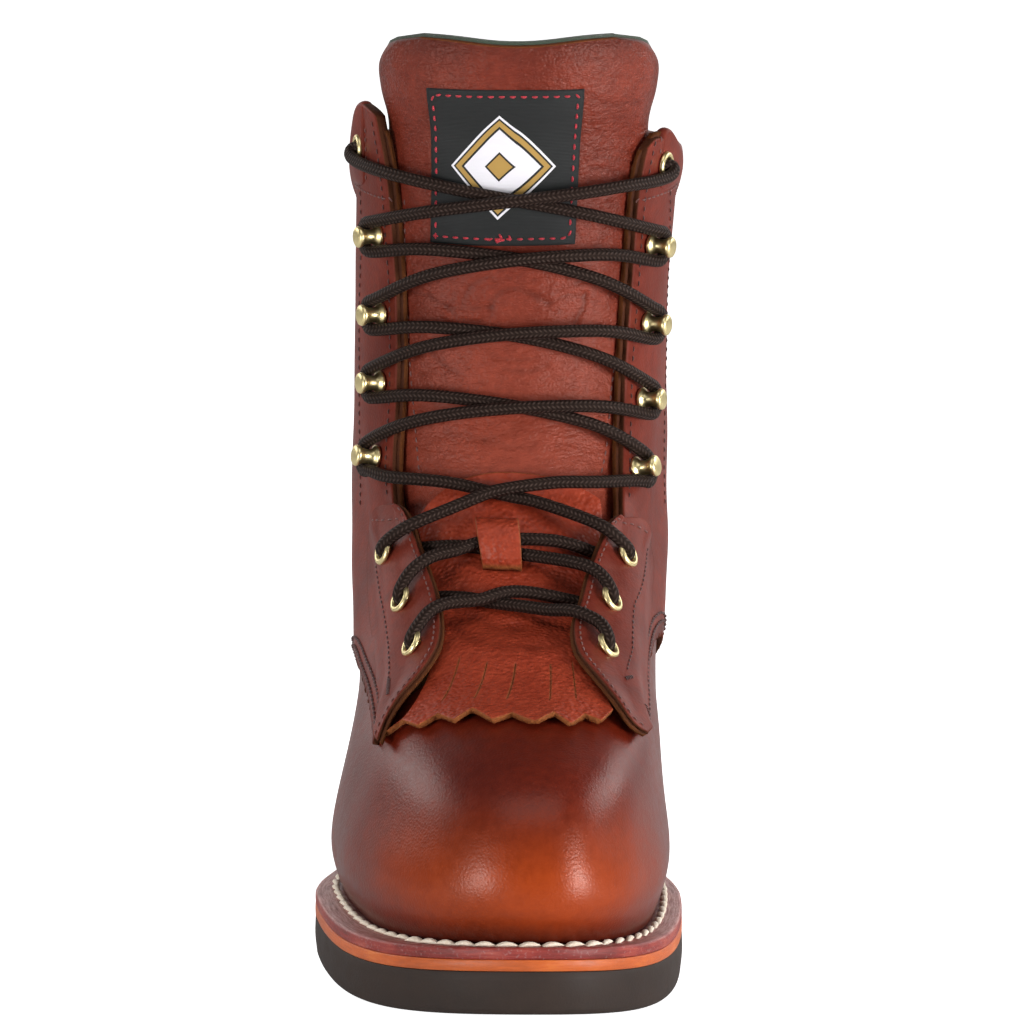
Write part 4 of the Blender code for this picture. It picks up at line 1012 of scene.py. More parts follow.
# %% Creases, each a width, a depth and a line of levels and turns
TONGUE_CREASES = [
    (0.9, 0.45, ((195.6, 0.779), (195.9, 0.832), (193.3, 0.869), (192.7, 0.911), (193.4, 0.966))),
    (0.8, 0.40, ((193.0, 0.874), (189.9, 0.903), (188.8, 0.938), (190.3, 0.970))),
    (0.8, 0.40, ((187.1, 0.849), (188.1, 0.903), (188.0, 0.946))),
    (1.0, 0.50, ((192.0, 0.966), (197.3, 0.977), (199.4, 1.000), (198.0, 1.027), (194.3, 1.063))),
    (0.8, 0.40, ((194.5, 0.911), (199.8, 0.928), (202.8, 0.960), (200.8, 0.976))),
    (0.9, 0.40, ((194.3, 1.063), (196.7, 1.101), (195.6, 1.134))),
    (1.0, 0.55, ((196.9, 1.141), (192.8, 1.138), (188.8, 1.124), (185.4, 1.120))),
    (0.8, 0.35, ((198.3, 1.079), (200.1, 1.114), (200.7, 1.147))),
    (0.8, 0.30, ((203.2, 0.993), (201.5, 1.012), (202.1, 1.037))),
    (1.0, 0.35, ((177.9, 0.839), (174.3, 0.869), (172.0, 0.902))),
    (0.9, 0.35, ((173.9, 0.992), (173.2, 1.025), (175.0, 1.065))),
    (0.8, 0.30, ((177.9, 0.970), (176.6, 1.004), (177.2, 1.041))),
    (0.8, 0.30, ((187.0, 1.152), (184.7, 1.203), (184.6, 1.234))),
    (1.0, 0.35, ((175.0, 0.798), (178.6, 0.822), (180.8, 0.849))),
    (1.2, 0.25, ((153.8, 0.870), (152.7, 0.934), (154.3, 0.990))),
    (1.2, 0.25, ((152.5, 0.942), (150.5, 0.996), (151.3, 1.039))),
    (0.9, 0.35, ((240.3, 1.134), (240.3, 1.184), (236.6, 1.263))),
    (0.9, 0.35, ((237.3, 1.139), (236.1, 1.181), (232.6, 1.248))),
    (0.8, 0.30, ((242.6, 1.141), (242.6, 1.192), (240.1, 1.267))),
    (0.9, 0.30, ((233.1, 1.136), (230.7, 1.184), (228.4, 1.245))),
    (1.2, 0.25, ((260.0, 1.130), (258.5, 1.170), (258.3, 1.236))),
    (1.2, 0.25, ((236.0, 0.730), (233.0, 0.780), (231.0, 0.830))),
]
TURN_MM = 150.0


def creases(level, turn, rows):
    """Depth of listed creases at places on the form: a trough with a low ridge beside it."""
    total = np.zeros(np.broadcast(level, turn).shape)
    for width, depth, controls in rows:
        nearest = np.full(total.shape, 1e3)
        line = trace(controls, 4 * len(controls)).T
        for a, b in zip(line, line[1:]):
            run = (b - a) * (1, TURN_MM)
            off_level, off_turn = level - a[0], (turn - a[1]) * TURN_MM
            share = np.clip((off_level * run[0] + off_turn * run[1]) / (run @ run), 0, 1)
            nearest = np.minimum(nearest, np.hypot(off_level - run[0] * share, off_turn - run[1] * share))
        ridge = np.exp(-((nearest - 2.4 * width) / (1.4 * width)) ** 2)
        total -= 0.8 * depth * (np.exp(-(nearest / width) ** 2) - 0.2 * ridge)
    return total


# %% Tongue, as rows of level, outer and inner turn, and height of the face
TONGUE_ROWS = np.array([
    (86.0, 0.86, 1.11, -4.6), (96.0, 0.815, 1.15, -5.0), (110.0, 0.765, 1.205, -5.2),
    (126.0, 0.725, 1.260, -4.9), (145.0, 0.700, 1.295, -3.8), (180.0, 0.690, 1.310, -3.2),
    (220.0, 0.685, 1.315, -3.2), (246.0, 0.675, 1.325, -3.2), (264.0, 0.660, 1.340, -1.8),
    (271.0, 0.672, 1.328, -0.8), (276.0, 0.705, 1.295, -0.6), (278.8, 0.750, 1.250, -0.8),
    (280.0, 0.810, 1.190, -1.0)])
TONGUE = 4.5


def top_dip(level, turn):
    """The hollow in the middle of the tongue's top edge."""
    return 2.2 * np.exp(-((turn - 1.0) / 0.10) ** 2) * smooth((level - 266) / 14)


knots = np.append(0, np.cumsum(np.diff(TONGUE_ROWS[:, 0]) ** 0.75))
read = natural_spline(knots, TONGUE_ROWS)(lipped(305, 0.002) * knots[-1])
tongue_row, lateral, medial, face = read.T[:, :, None]
across = lipped(173, 0.004)[None, :]
tongue_turn = between((lateral, medial), across)
tongue_level = tongue_row - top_dip(tongue_row, tongue_turn)
tongue_edge = np.minimum(across, 1 - across) * (medial - lateral) * TURN_MM
tongue_edge = np.minimum(tongue_edge, (281.5 - tongue_level) * 1.1)
tongue_round = 2.4 * (1 - np.sqrt(1 - (1 - np.clip(tongue_edge / 5.0, 0, 1)) ** 2))
tongue_round = tongue_round + 2.6 * (1 - smooth(tongue_edge / 22.0)) * smooth((tongue_level - 236) / 20)
tongue_pad = 1.6 * smooth((tongue_level - 246) / 16)
tongue_dip = creases(tongue_level, tongue_turn, TONGUE_CREASES)
tongue_face = face + tongue_pad - tongue_round + tongue_dip
tongue_face = tongue_face + 0.3 * ripple(on_form(tongue_level, tongue_turn, 0), 30.0)
tongue_back = np.minimum(face - TONGUE + 0.8, tongue_face - 1.5)
# On the tongue the toe tone is painted light, brighter low down and away from the edges; painted shade darkens
# its creases and its edges beside the facings.
tongue = skin("tongue_leaf", on_form(tongue_level, tongue_turn, tongue_face),
              on_form(tongue_level, tongue_turn, tongue_back), TUMBLED_HIDE, "tongue_leather",
              burnish=0.4 * smooth((225 - tongue_level) / 70) * smooth(tongue_edge / 16),
              shade=np.clip(-0.8 * tongue_dip, 0, 0.4) + 0.4 * (1 - smooth(tongue_edge / 13)))
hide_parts("tongue")

# %% Felt lining of the tongue
FELT_BEYOND, FELT_THICK = 0.004, 1.4
read = natural_spline(TONGUE_ROWS[:, 0], TONGUE_ROWS)(np.linspace(190, 280, 61))
felt_row, lateral, medial, face = read.T[:, :, None]
felt_turn = between((lateral - FELT_BEYOND, medial + FELT_BEYOND), lipped(85, 0.01)[None, :])
felt_level = felt_row + smooth((felt_row - 250) / 30) - top_dip(felt_row, felt_turn)
felt_face = face - TONGUE + 0.75 + 0 * felt_turn
skin("tongue_felt", on_form(felt_level, felt_turn, felt_face),
     on_form(felt_level, felt_turn, felt_face - FELT_THICK), FELT, "tongue_leather")

# %% [markdown]
# ## Kiltie
# The kiltie is a false tongue laid over the lower lacing: a rounded top, a pinked front edge that
# curls a little off the vamp, and short slits above the teeth. The zigzag is a rule, one tooth after
# another along the edge, and the slits are narrow grooves with grid lines close to each.

# %% Kiltie, as rows of outer, middle and inner level, outer and inner turn, and height of the face
KILTIE_ROWS = [
    (76.8, 84.9, 83.0, 0.727, 1.166, 2.5), (83.5, 88.5, 87.0, 0.775, 1.160, 2.5),
    (92.5, 93.5, 93.0, 0.812, 1.150, 2.4), (98.0, 98.0, 97.5, 0.825, 1.145, 2.1),
    (103.0, 103.0, 103.0, 0.822, 1.150, -1.0), (109.0, 109.0, 109.0, 0.815, 1.160, -2.6),
    (119.0, 121.0, 119.0, 0.795, 1.180, -2.8), (124.0, 133.0, 128.0, 0.785, 1.190, -2.4),
    (126.5, 143.0, 133.0, 0.790, 1.182, -1.8)]
KILTIE, KILTIE_LAST = 1.8, len(KILTIE_ROWS) - 1
HALF_TEETH, TOOTH_LEVEL, TOOTH_DEPTH = 13, 1.55, 0.85
SLITS = (0.165, 0.325, 0.475, 0.655, 0.80)
SLIT_EDGE, SLIT_SIDE = 0.0028, 0.0075
SLIT_START, SLIT_END, SLIT_DEEP = 0.85, 2.30, 0.7
KILTIE_ROLL = 0.25
KILTIE_CREASES = [
    (1.2, 0.40, ((101.0, 0.86), (99.0, 0.94), (99.0, 1.02))),
    (1.2, 0.40, ((98.5, 1.00), (99.0, 1.06), (100.5, 1.12))),
    (1.2, 0.45, ((107.0, 0.86), (105.5, 0.93), (105.0, 0.99))),
    (1.2, 0.45, ((104.5, 0.98), (106.0, 1.05), (107.0, 1.12))),
    (1.1, 0.35, ((112.0, 0.88), (111.5, 0.96), (110.0, 1.05))),
    (1.3, 0.30, ((126.0, 0.84), (128.0, 0.88), (131.0, 0.92))),
    (1.3, 0.30, ((136.0, 0.94), (135.5, 1.01), (134.0, 1.08))),
]

slit_lines = np.add.outer(SLITS, (-SLIT_SIDE, -SLIT_EDGE, 0.0, SLIT_EDGE, SLIT_SIDE)).ravel()
across = np.linspace(0, 1, HALF_TEETH * 10 + 1)
across = across[np.abs(across[:, None] - slit_lines).min(1) > 0.002]
across = np.sort(np.concatenate([across, slit_lines, [0.004, 0.996]]))
while len(across) % INNER_STEP != 1:
    wide = int(np.argmax(np.diff(across)))
    across = np.insert(across, wide + 1, across[wide:wide + 2].mean())
along = lipped(161, 0.005)[:, None] * KILTIE_LAST
read = natural_spline(np.arange(KILTIE_LAST + 1), KILTIE_ROWS)(along + 0 * across)
lat_level, mid_level, med_level, lateral, medial, face = np.moveaxis(read, -1, 0)
side_level = np.where(across < 0.5, lat_level, med_level)
zigzag = np.abs((across * HALF_TEETH + 1) % 2 - 1)
kiltie_level = mid_level + (side_level - mid_level) * np.abs(2 * across - 1) ** 2
kiltie_level = kiltie_level + TOOTH_LEVEL * (zigzag - 0.5) * np.clip(1 - along / TOOTH_DEPTH, 0, 1)
kiltie_turn = between((lateral, medial), across)
kiltie_curl = 0.9 * np.clip(1 - along / 1.2, 0, 1) ** 2 * (1 + 0.6 * np.sin(across * 21.0))
kiltie_dip = creases(kiltie_level, kiltie_turn, KILTIE_CREASES)
kiltie_dip = kiltie_dip + 0.2 * ripple(on_form(kiltie_level, kiltie_turn, 0), 21.0)
from_slit = np.abs(across[:, None] - np.array(SLITS)).min(1)[None, :]
slit_open = smooth((along - SLIT_START) / 0.12) * smooth((SLIT_END - along) / 0.12)
slit_dark = slit_open * (from_slit < 0.0005)
slit_raw = slit_open * (np.abs(from_slit - SLIT_EDGE) < 0.0005)
kiltie_face = face + kiltie_curl + kiltie_dip - SLIT_DEEP * slit_dark
kiltie_face[[0, -1]] -= KILTIE_ROLL
kiltie_face[:, [0, -1]] -= KILTIE_ROLL
# Painted shade darkens the kiltie's creases and the bottoms of its slits; the slits' cut sides are its own raw
# edge colour.
kiltie = skin("kiltie_fringe", on_form(kiltie_level, kiltie_turn, kiltie_face),
              on_form(kiltie_level, kiltie_turn, face + kiltie_curl - KILTIE), KILTIE_HIDE, "tongue_leather",
              shade=np.clip(-0.3 * kiltie_dip, 0, 0.3) + 0.35 * slit_dark, raw=slit_raw)
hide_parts("kiltie")

# %% Keeper strap
KEEPER_LEVELS, KEEPER_TURNS, KEEPER, KEEPER_ARCH = (117.3, 128.6), (0.932, 1.000), 1.6, 8.4
KEEPER_SEAT = -2.6
along = lipped(61, 0.01)[:, None]
turn = between(KEEPER_TURNS, lipped(37, 0.03)[None, :])
level = between(KEEPER_LEVELS, along)
height = KEEPER_SEAT + GAP + KEEPER + KEEPER_ARCH * np.sin(along * math.pi) ** 0.5 + 0 * turn
rolled = height.copy()
rolled[:, [0, -1]] -= KILTIE_ROLL
# The strap is darkened a little all over with painted shade, as it catches more light than the fringe.
keeper = skin("keeper_strap", on_form(level, turn, rolled), on_form(level, turn, height - KEEPER),
              KILTIE_HIDE, "tongue_leather", shade=0.12)
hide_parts("lace_keeper")

# %% [markdown]
# ## Rows of stitches, eyelets and hooks
# A row of stitches is one small shape repeated along a line that lies on the leather. Geometry Nodes
# do this: the line is resampled at the stitch pitch, the shape is set on each point, turned along
# the line and up from the leather, then made real. A second tree, built the same way, sets eyelets
# and hooks on single points.


# %% Trees that copy a shape
def copies_tree(name, in_rows):
    tree = bpy.data.node_groups.new(name, "GeometryNodeTree")
    tree.is_modifier = True
    kinds = {"Shape": "NodeSocketObject", "Material": "NodeSocketMaterial"}
    if in_rows:
        kinds.update(Pitch="NodeSocketFloat", Slant="NodeSocketFloat")
    face = tree.interface
    face.new_socket("Geometry", in_out="INPUT", socket_type="NodeSocketGeometry")
    sockets = {key: face.new_socket(key, in_out="INPUT", socket_type=kind) for key, kind in kinds.items()}
    face.new_socket("Geometry", in_out="OUTPUT", socket_type="NodeSocketGeometry")
    given = add(tree, "NodeGroupInput").outputs
    up = add(tree, "GeometryNodeInputNamedAttribute", {"Name": "up"}, data_type="FLOAT_VECTOR")
    turned = add(tree, "FunctionNodeAlignRotationToVector", {"Vector": up.outputs[0]}, axis="Z").outputs[0]
    if in_rows:
        line = add(tree, "GeometryNodeMeshToCurve", {"Mesh": given["Geometry"]}).outputs[0]
        points = add(tree, "GeometryNodeResampleCurve", {"Curve": line, "Length": given["Pitch"]},
                     mode="LENGTH")
        ahead = add(tree, "GeometryNodeInputTangent").outputs[0]
        turned = add(tree, "FunctionNodeAlignRotationToVector", {"Rotation": turned, "Vector": ahead},
                     axis="X", pivot_axis="Z").outputs[0]
        lean = add(tree, "FunctionNodeAxisAngleToRotation", {"Axis": (0, 0, 1), "Angle": given["Slant"]})
        turned = add(tree, "FunctionNodeRotateRotation", {0: turned, 1: lean.outputs[0]},
                     rotation_space="LOCAL").outputs[0]
    else:
        points = add(tree, "GeometryNodeMeshToPoints", {"Mesh": given["Geometry"]})
    shape = add(tree, "GeometryNodeObjectInfo", {"Object": given["Shape"]}, transform_space="ORIGINAL")
    copies = add(tree, "GeometryNodeInstanceOnPoints",
                 {"Points": points.outputs[0], "Instance": shape.outputs["Geometry"], "Rotation": turned})
    real = add(tree, "GeometryNodeRealizeInstances", {0: copies.outputs[0]})
    done = add(tree, "GeometryNodeSetMaterial", {"Geometry": real.outputs[0], "Material": given["Material"]})
    add(tree, "NodeGroupOutput", {0: done.outputs[0]})
    return tree, {key: socket.identifier for key, socket in sockets.items()}


SEWING = copies_tree("sewn_row", True)
SETTING = copies_tree("set_on_points", False)
print("trees made:", SEWING[0].name, SETTING[0].name)


# %% Running a tree
def hidden_object(name, points, edges=(), faces=(), up=None):
    mesh = bpy.data.meshes.new(name)
    mesh.from_pydata((np.asarray(points) * MM).tolist(), edges, faces)
    if up is not None:
        layer_up = mesh.attributes.new("up", "FLOAT_VECTOR", "POINT")
        layer_up.data.foreach_set("vector", np.ascontiguousarray(up, np.float32).ravel())
    mesh.shade_smooth()
    obj = bpy.data.objects.new(name, mesh)
    scene.collection.objects.link(obj)
    return obj


def run_tree(name, base, made, material, slot, **inputs):
    """Evaluates a tree on a hidden object and keeps the result as a plain mesh."""
    tree, identifiers = made
    modifier = base.modifiers.new("make", "NODES")
    modifier.node_group = tree
    for key, value in dict(inputs, Material=material).items():
        modifier[identifiers[key]] = value
    graph = bpy.context.evaluated_depsgraph_get()
    mesh = bpy.data.meshes.new_from_object(base.evaluated_get(graph))
    mesh.name = name
    if "up" in mesh.attributes:
        mesh.attributes.remove(mesh.attributes["up"])
    bpy.data.objects.remove(base)
    return place_piece(name, mesh, material)


# %% Stitches along a line
def stitch_shape(name, length, width, height, sink, point=0.55):
    """A bead of thread that arches up between its two holes; a larger point is slimmer at the ends."""
    around, rings = 8, 6
    points = [(-length / 2, 0, -sink)]
    for share in np.arange(1, rings) / rings:
        fat = math.sin(share * math.pi) ** point
        middle = -sink + (sink + height / 2) * math.sin(share * math.pi) ** 0.8 - height / 2 * 0.2
        for a in np.arange(around) / around * math.tau:
            side, top = width / 2 * fat * math.cos(a), height / 2 * fat * math.sin(a)
            points.append((length * (share - 0.5), side, middle + top))
    points.append((length / 2, 0, -sink))
    ring = [(j, (j + 1) % around) for j in range(around)]
    last, end = 1 + (rings - 2) * around, len(points) - 1
    faces = [[0, 1 + k, 1 + j] for j, k in ring]
    for a in range(1, last, around):
        faces += [[a + j, a + k, a + around + k, a + around + j] for j, k in ring]
    faces += [[last + j, last + k, end] for j, k in ring]
    return hidden_object(name, points, faces=faces)


def sew(name, runs, shape, pitch, material, slant=0.0):
    """Rows of stitches along runs, each a list of points and of directions up from the leather."""
    points, ups, edges = [], [], []
    for line, up in runs:
        start = len(points)
        points += list(line)
        ups += list(up)
        edges += [(start + i, start + i + 1) for i in range(len(line) - 1)]
    base = hidden_object(name + "_line", points, edges, up=ups)
    run_tree(name, base, SEWING, material, "lace_cord", Pitch=pitch * MM, Shape=shape, Slant=slant)


# %% Laying a line on leather
SURFACES = {}


def laid(points, piece):
    """A run of points moved onto a piece, with the directions up from it."""
    if piece.name not in SURFACES:
        mesh = piece.data
        corners = [v.co for v in mesh.vertices]
        SURFACES[piece.name] = BVHTree.FromPolygons(corners, [p.vertices for p in mesh.polygons])
    line, ups = [], []
    for point in np.asarray(points):
        spot, up, _, _ = SURFACES[piece.name].find_nearest(Vector(point) * MM)
        line.append(np.array(spot) / MM)
        ups.append(np.array(up))
    return line, ups


def beside(points, ups, distance):
    """The line moved sideways over the surface."""
    ahead = np.gradient(points, axis=0)
    ahead /= np.linalg.norm(ahead, axis=1, keepdims=True)
    return points + np.cross(ups, ahead) * distance


def drawn(controls, height, piece, count=80):
    """A given line of levels and turns, laid on a piece from the height given."""
    return laid(on_form(*trace(controls, count), height), piece)


# %% [markdown]
# ## Stitching
# The quarters are sewn to the vamp with two close rows along the arch. The flaps have a row along
# the front edge, one along the back and one across the tab, with short dense tacks where the strain
# is. The facings have a row at the edge and one behind the hooks, and the collar has a row along its
# lower seam.

# %% Stitch rows of the upper, drawn as levels and turns
FINE_STITCH = stitch_shape("fine_stitch", 2.3, 0.6, 0.5, 0.22)
ARCH_STITCH = stitch_shape("arch_stitch", 2.7, 0.95, 0.9, 0.2)
STITCH_PITCH, TACK_PITCH, TACK_SLANT = 3.0, 0.9, 1.1
FLAP_ABOVE = 8.0
ARCH_ENDS = {"lateral": 0.695, "medial": 0.71}
BACK_ROWS = {
    "lateral": [(240, 0.600), (214, 0.612), (188.9, 0.612), (160, 0.600), (138, 0.581), (120, 0.560)],
    "medial": [(228, 1.372), (208, 1.405), (186.8, 1.437), (160, 1.456), (135.6, 1.467), (118, 1.478)]}
FLAP_BACK_ROWS = {
    "lateral": [(105.2, 0.650), (102.8, 0.660), (99.5, 0.677), (97.4, 0.689), (93.9, 0.700), (89.0, 0.708),
                (86.4, 0.713), (84.6, 0.717)],
    "medial": [(109.9, 1.338), (107.9, 1.308), (104.9, 1.282), (102.3, 1.259), (100.2, 1.244), (93.4, 1.236),
               (90.7, 1.227), (88.8, 1.214)]}
TAB_ROWS = {"lateral": [(120.1, 0.686), (121.8, 0.728), (123.0, 0.766), (122.0, 0.774)],
            "medial": [(122.9, 1.186), (122.4, 1.218), (120.5, 1.254), (117.7, 1.286)]}
TACKS = {"lateral": [[(84.4, 0.719), (82.2, 0.724)]],
         "medial": [[(87.2, 1.206), (86.9, 1.224)], [(81.2, 1.254), (79.4, 1.264)]]}
dark_rows, mauve_rows, arch_rows, tack_rows = [], [], [], []
for side, sign in SIDES.items():
    turn = sign * np.linspace(0.36, ARCH_ENDS[side], 130)
    level = arch_level(turn)
    edge, ups = on_form(level, turn, quarter_height(level, turn)), normal_at(level, turn)
    arch_rows += [laid(beside(edge, ups, distance * sign), quarters) for distance in (2.4, 5.0)]
    level = np.linspace(131, collar_level(sign * CORNER_TURN) - 6, 90)
    turn = facing_turn(level, sign > 0) - sign * 3.4 / SHAFT_TURN_MM
    dark_rows.append(laid(on_form(level, turn, 1.0), quarters))
dark_rows += [drawn(BACK_ROWS[side], 0.4, quarters) for side in SIDES]
for side, sign in SIDES.items():
    flap = flap_pieces[side]
    level, turn, height = flap_place(side, np.linspace(0.4, FLAP_ROWS - 0.8, 110), np.zeros(110))
    edge, ups = on_form(level, turn, height), normal_at(level, turn)
    mauve_rows.append(laid(beside(edge, ups, 2.2 * sign) + 3 * ups, flap))
    dark_rows.append(drawn(FLAP_BACK_ROWS[side], FLAP_ABOVE, flap))
    mauve_rows.append(drawn(TAB_ROWS[side], FLAP_ABOVE, flap))
    tack_rows += [drawn(controls, FLAP_ABOVE, flap, 12) for controls in TACKS[side]]
for end, low, high in ((COLLAR_ENDS[0], 231, 247), (COLLAR_ENDS[1], 233, 245)):
    turn = end + math.copysign(1.6 / SHAFT_TURN_MM, end)
    mauve_rows.append(laid(on_form(np.linspace(low, high, 20), turn, 0.6), quarters))
turn = np.linspace(COLLAR_ENDS[0] + 0.11, COLLAR_ENDS[1] - 0.08, 220)
mauve_rows.append(laid(on_form(collar_seam_level(turn) - 1.0, turn, 0.6), quarters))
sew("upper_stitches", dark_rows, FINE_STITCH, STITCH_PITCH, DARK_NYLON)
sew("arch_stitches", arch_rows, ARCH_STITCH, STITCH_PITCH, DARK_NYLON)
sew("flap_bartacks", tack_rows, FINE_STITCH, TACK_PITCH, DARK_NYLON, TACK_SLANT)
sew("seam_stitches", mauve_rows, FINE_STITCH, STITCH_PITCH, MAUVE_NYLON)

# %% Stitch rows of the tongue
TONGUE_SEAMS = [[(225, 0.765), (193, 0.776), (177, 0.785), (161.5, 0.791), (147, 0.796), (137, 0.800)],
                [(225, 1.240), (193, 1.235), (177, 1.229), (161.5, 1.215), (147, 1.207), (137, 1.190)]]
tongue_rows = [drawn(controls, -2.8, tongue, 70) for controls in TONGUE_SEAMS]
sew("tongue_stitches", tongue_rows, FINE_STITCH, STITCH_PITCH, MAUVE_NYLON)

# %% Welt stitches: one long row, and a short second row at the toe
WELT_STITCH = stitch_shape("welt_stitch", 8.2, 2.3, 1.5, 0.3, 1.0)
WELT_PITCH, WELT_SLANT, WELT_LIFT, WELT_START_Y = 6.7, 0.2, 0.25, 74.0
UPRIGHT = np.array([0.0, 0.0, 1.0])
welt_rows = []
for offset, first, last in ((2.3, 0.0, 1.0), (4.3, 0.415, 0.545)):
    x, y = outline(FEATHER, -offset, 640)
    run = np.stack([x, y, welt_top(y) + WELT_LIFT], -1)[y < WELT_START_Y]
    run = run[int(first * len(run)):int(last * len(run))]
    welt_rows.append((list(run), [UPRIGHT] * len(run)))
sew("welt_stitches", welt_rows, WELT_STITCH, WELT_PITCH, CREAM_LINEN, WELT_SLANT)

# %% [markdown]
# ## Label
# A square woven label is sewn to the tongue with red thread. It carries only a plain pattern of nested
# diamonds. It is a thin piece laid on the tongue, so its grid is read from the tongue's own surface.
# Its seam ends in a small knot of back stitches at the middle of the lower edge.

# %% Label
LABEL_LEVELS, LABEL_TURNS, LABEL_THICK, LABEL_SINK = (213.2, 264.4), (0.839, 1.110), 0.7, 0.3
LABEL_GRID = 57
share = np.linspace(0, 1, LABEL_GRID)
rough = on_form(between(LABEL_LEVELS, share)[:, None], between(LABEL_TURNS, share)[None, :], -1.6)
spots, ups = (np.array(a) for a in laid(rough.reshape(-1, 3), tongue))
faces = quads(LABEL_GRID, LABEL_GRID) + quads(LABEL_GRID, LABEL_GRID, len(spots), True)
edge = rim(LABEL_GRID, LABEL_GRID).tolist()
faces += [[a, b, b + len(spots), a + len(spots)] for a, b in zip(edge, edge[1:] + edge[:1])]
flat = np.tile(np.stack(np.meshgrid(share, share), -1).reshape(-1, 2), (2, 1))
points = np.concatenate([spots + ups * LABEL_THICK, spots - ups * LABEL_SINK])
flat = np.concatenate([flat[face] for face in faces])
label = new_piece("woven_label", points, faces, LABEL, loop_uv=flat)

LABEL_STITCH = stitch_shape("label_stitch", 2.3, 0.8, 0.7, 0.2)
LABEL_PITCH, SEAM_IN = 3.5, 0.045
SEAM_OUT = 1 - SEAM_IN
KNOT = [(215.4, 0.962), (216.6, 0.986), (214.4, 0.970), (216.0, 0.998), (214.8, 0.978)]
corners = [(SEAM_IN, SEAM_IN), (SEAM_OUT, SEAM_IN), (SEAM_OUT, SEAM_OUT), (SEAM_IN, SEAM_OUT),
           (SEAM_IN, SEAM_IN)]
border = np.concatenate([np.linspace(a, b, 40) for a, b in zip(corners, corners[1:])])
seam = on_form(between(LABEL_LEVELS, border[:, 1]), between(LABEL_TURNS, border[:, 0]), 2.0)
knot = on_form(*np.transpose(KNOT), 2.0)
sew("label_stitches", [laid(seam, label), laid(knot, label)], LABEL_STITCH, LABEL_PITCH, RED_THREAD)

# %% [markdown]
# ## Eyelets and hooks
# An eyelet is a turned brass ring with a rolled face and a barrel through the leather. A speed hook
# is a spool: a round head, a waisted barrel and a base flange. Each shape is a profile spun once;
# the point tree then sets it at its places, leaned to the side as the facing is pulled round.

# %% Brass fittings
Place = namedtuple("Place", "level turn")
HOOKS = {"lateral": [Place(140.5, 0.694), Place(165.0, 0.720), Place(187.5, 0.727), Place(213.0, 0.712)],
         "medial": [Place(138.0, 1.275), Place(159.5, 1.286), Place(184.0, 1.293), Place(210.0, 1.291)]}
EYELETS = {"lateral": [Place(92.8, 0.776), Place(102.0, 0.756), Place(112.4, 0.720)],
           "medial": [Place(94.2, 1.162), Place(103.9, 1.178), Place(113.4, 1.224)]}
TOP_EYELETS = {"lateral": Place(240.0, 0.612), "medial": Place(235.8, 1.325)}
METAL_SEAT, HOOK_RISE, EYELET_RISE, TOP_RISE = 0.45, 0.6, 0.6, 1.0
HOOK_LEAN, EYELET_LEAN, EYELET_DOWN = 0.28, 0.32, 0.22


def spun(name, profile, steps):
    """A closed shape spun from a profile of radius and height; ends on the axis are one point."""
    points, rings = [], []
    for r, z in profile:
        if r == 0:
            rings.append([len(points)])
            points.append((0, 0, z))
        else:
            rings.append(list(range(len(points), len(points) + steps)))
            points += [(r * math.cos(a), r * math.sin(a), z) for a in np.arange(steps) / steps * math.tau]
    faces = []
    pairs = zip(rings, rings[1:]) if profile[0][0] == 0 else zip(rings, rings[1:] + rings[:1])
    for a, b in pairs:
        for j in range(steps):
            k = (j + 1) % steps
            face = [a[j % len(a)], b[j % len(b)], b[k % len(b)], a[k % len(a)]]
            faces.append(list(dict.fromkeys(face)))
    return hidden_object(name, points, faces=faces)


ROLL = [(3.6 + 1.0 * math.cos(a), 0.25 + 1.05 * math.sin(a)) for a in np.radians(np.arange(0, 181, 22.5))]
EYELET_BARREL = [(2.45, -0.6), (2.4, -3.4), (2.75, -3.4), (2.8, -0.1)]
EYELET_SHAPE = spun("eyelet_shape", [(4.6, -0.1)] + ROLL + EYELET_BARREL, 40)
HEAD = [(0, 8.0), (1.8, 7.95), (2.8, 7.75), (3.3, 7.4), (3.45, 6.9), (3.4, 6.4), (3.1, 5.9)]
BARREL = [(2.7, 5.4), (2.45, 4.7), (2.35, 3.8), (2.35, 2.8), (2.5, 2.0), (2.9, 1.4)]
FLANGE = [(3.5, 1.05), (3.9, 0.75), (4.0, 0.4), (3.9, 0.0), (3.6, -0.4), (0, -0.4)]
HOOK_SHAPE = spun("hook_shape", HEAD + BARREL + FLANGE, 36)


def leaned(up, side, sideways, down=0.0):
    """A direction up from the leather, leaned outwards and down."""
    up = up + np.array([-sideways * SIDES[side], 0.0, -down])
    return up / np.linalg.norm(up)


def set_pieces(name, spots, shape):
    points, ups = zip(*spots)
    base = hidden_object(name + "_points", points, up=ups)
    return run_tree(name, base, SETTING, BRASS, "brass", Shape=shape)


for side in SIDES:
    spots = []
    for place in EYELETS[side]:
        (seat,), (up,) = laid([on_form(*place, flap_height(place.turn) + 1.0)], flap_pieces[side])
        spots.append((seat + up * EYELET_RISE, leaned(up, side, EYELET_LEAN, EYELET_DOWN)))
    top = TOP_EYELETS[side]
    spots.append((on_form(*top, TOP_RISE), normal_at(*top)))
    eyelets = set_pieces("brass_eyelets_" + side, spots, EYELET_SHAPE)
    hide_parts(*[f"eyelet_{side}_{n}" for n in (1, 2, 3, "top")])
    spots = [(on_form(*place, METAL_SEAT + HOOK_RISE), leaned(normal_at(*place), side, HOOK_LEAN))
             for place in HOOKS[side]]
    hooks = set_pieces("brass_hooks_" + side, spots, HOOK_SHAPE)
    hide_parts(*[f"hook_{side}_{n}" for n in (1, 2, 3, 4)])

# %% [markdown]
# ## Laces
# The lace comes out of each eyelet, bends over its rim and crosses the tongue; above the flaps it
# goes round the outer side of each hook and ends inside the top eyelet. It is held all the way, so
# its line is a smooth curve through the places where it is held, bowed up a little between them.

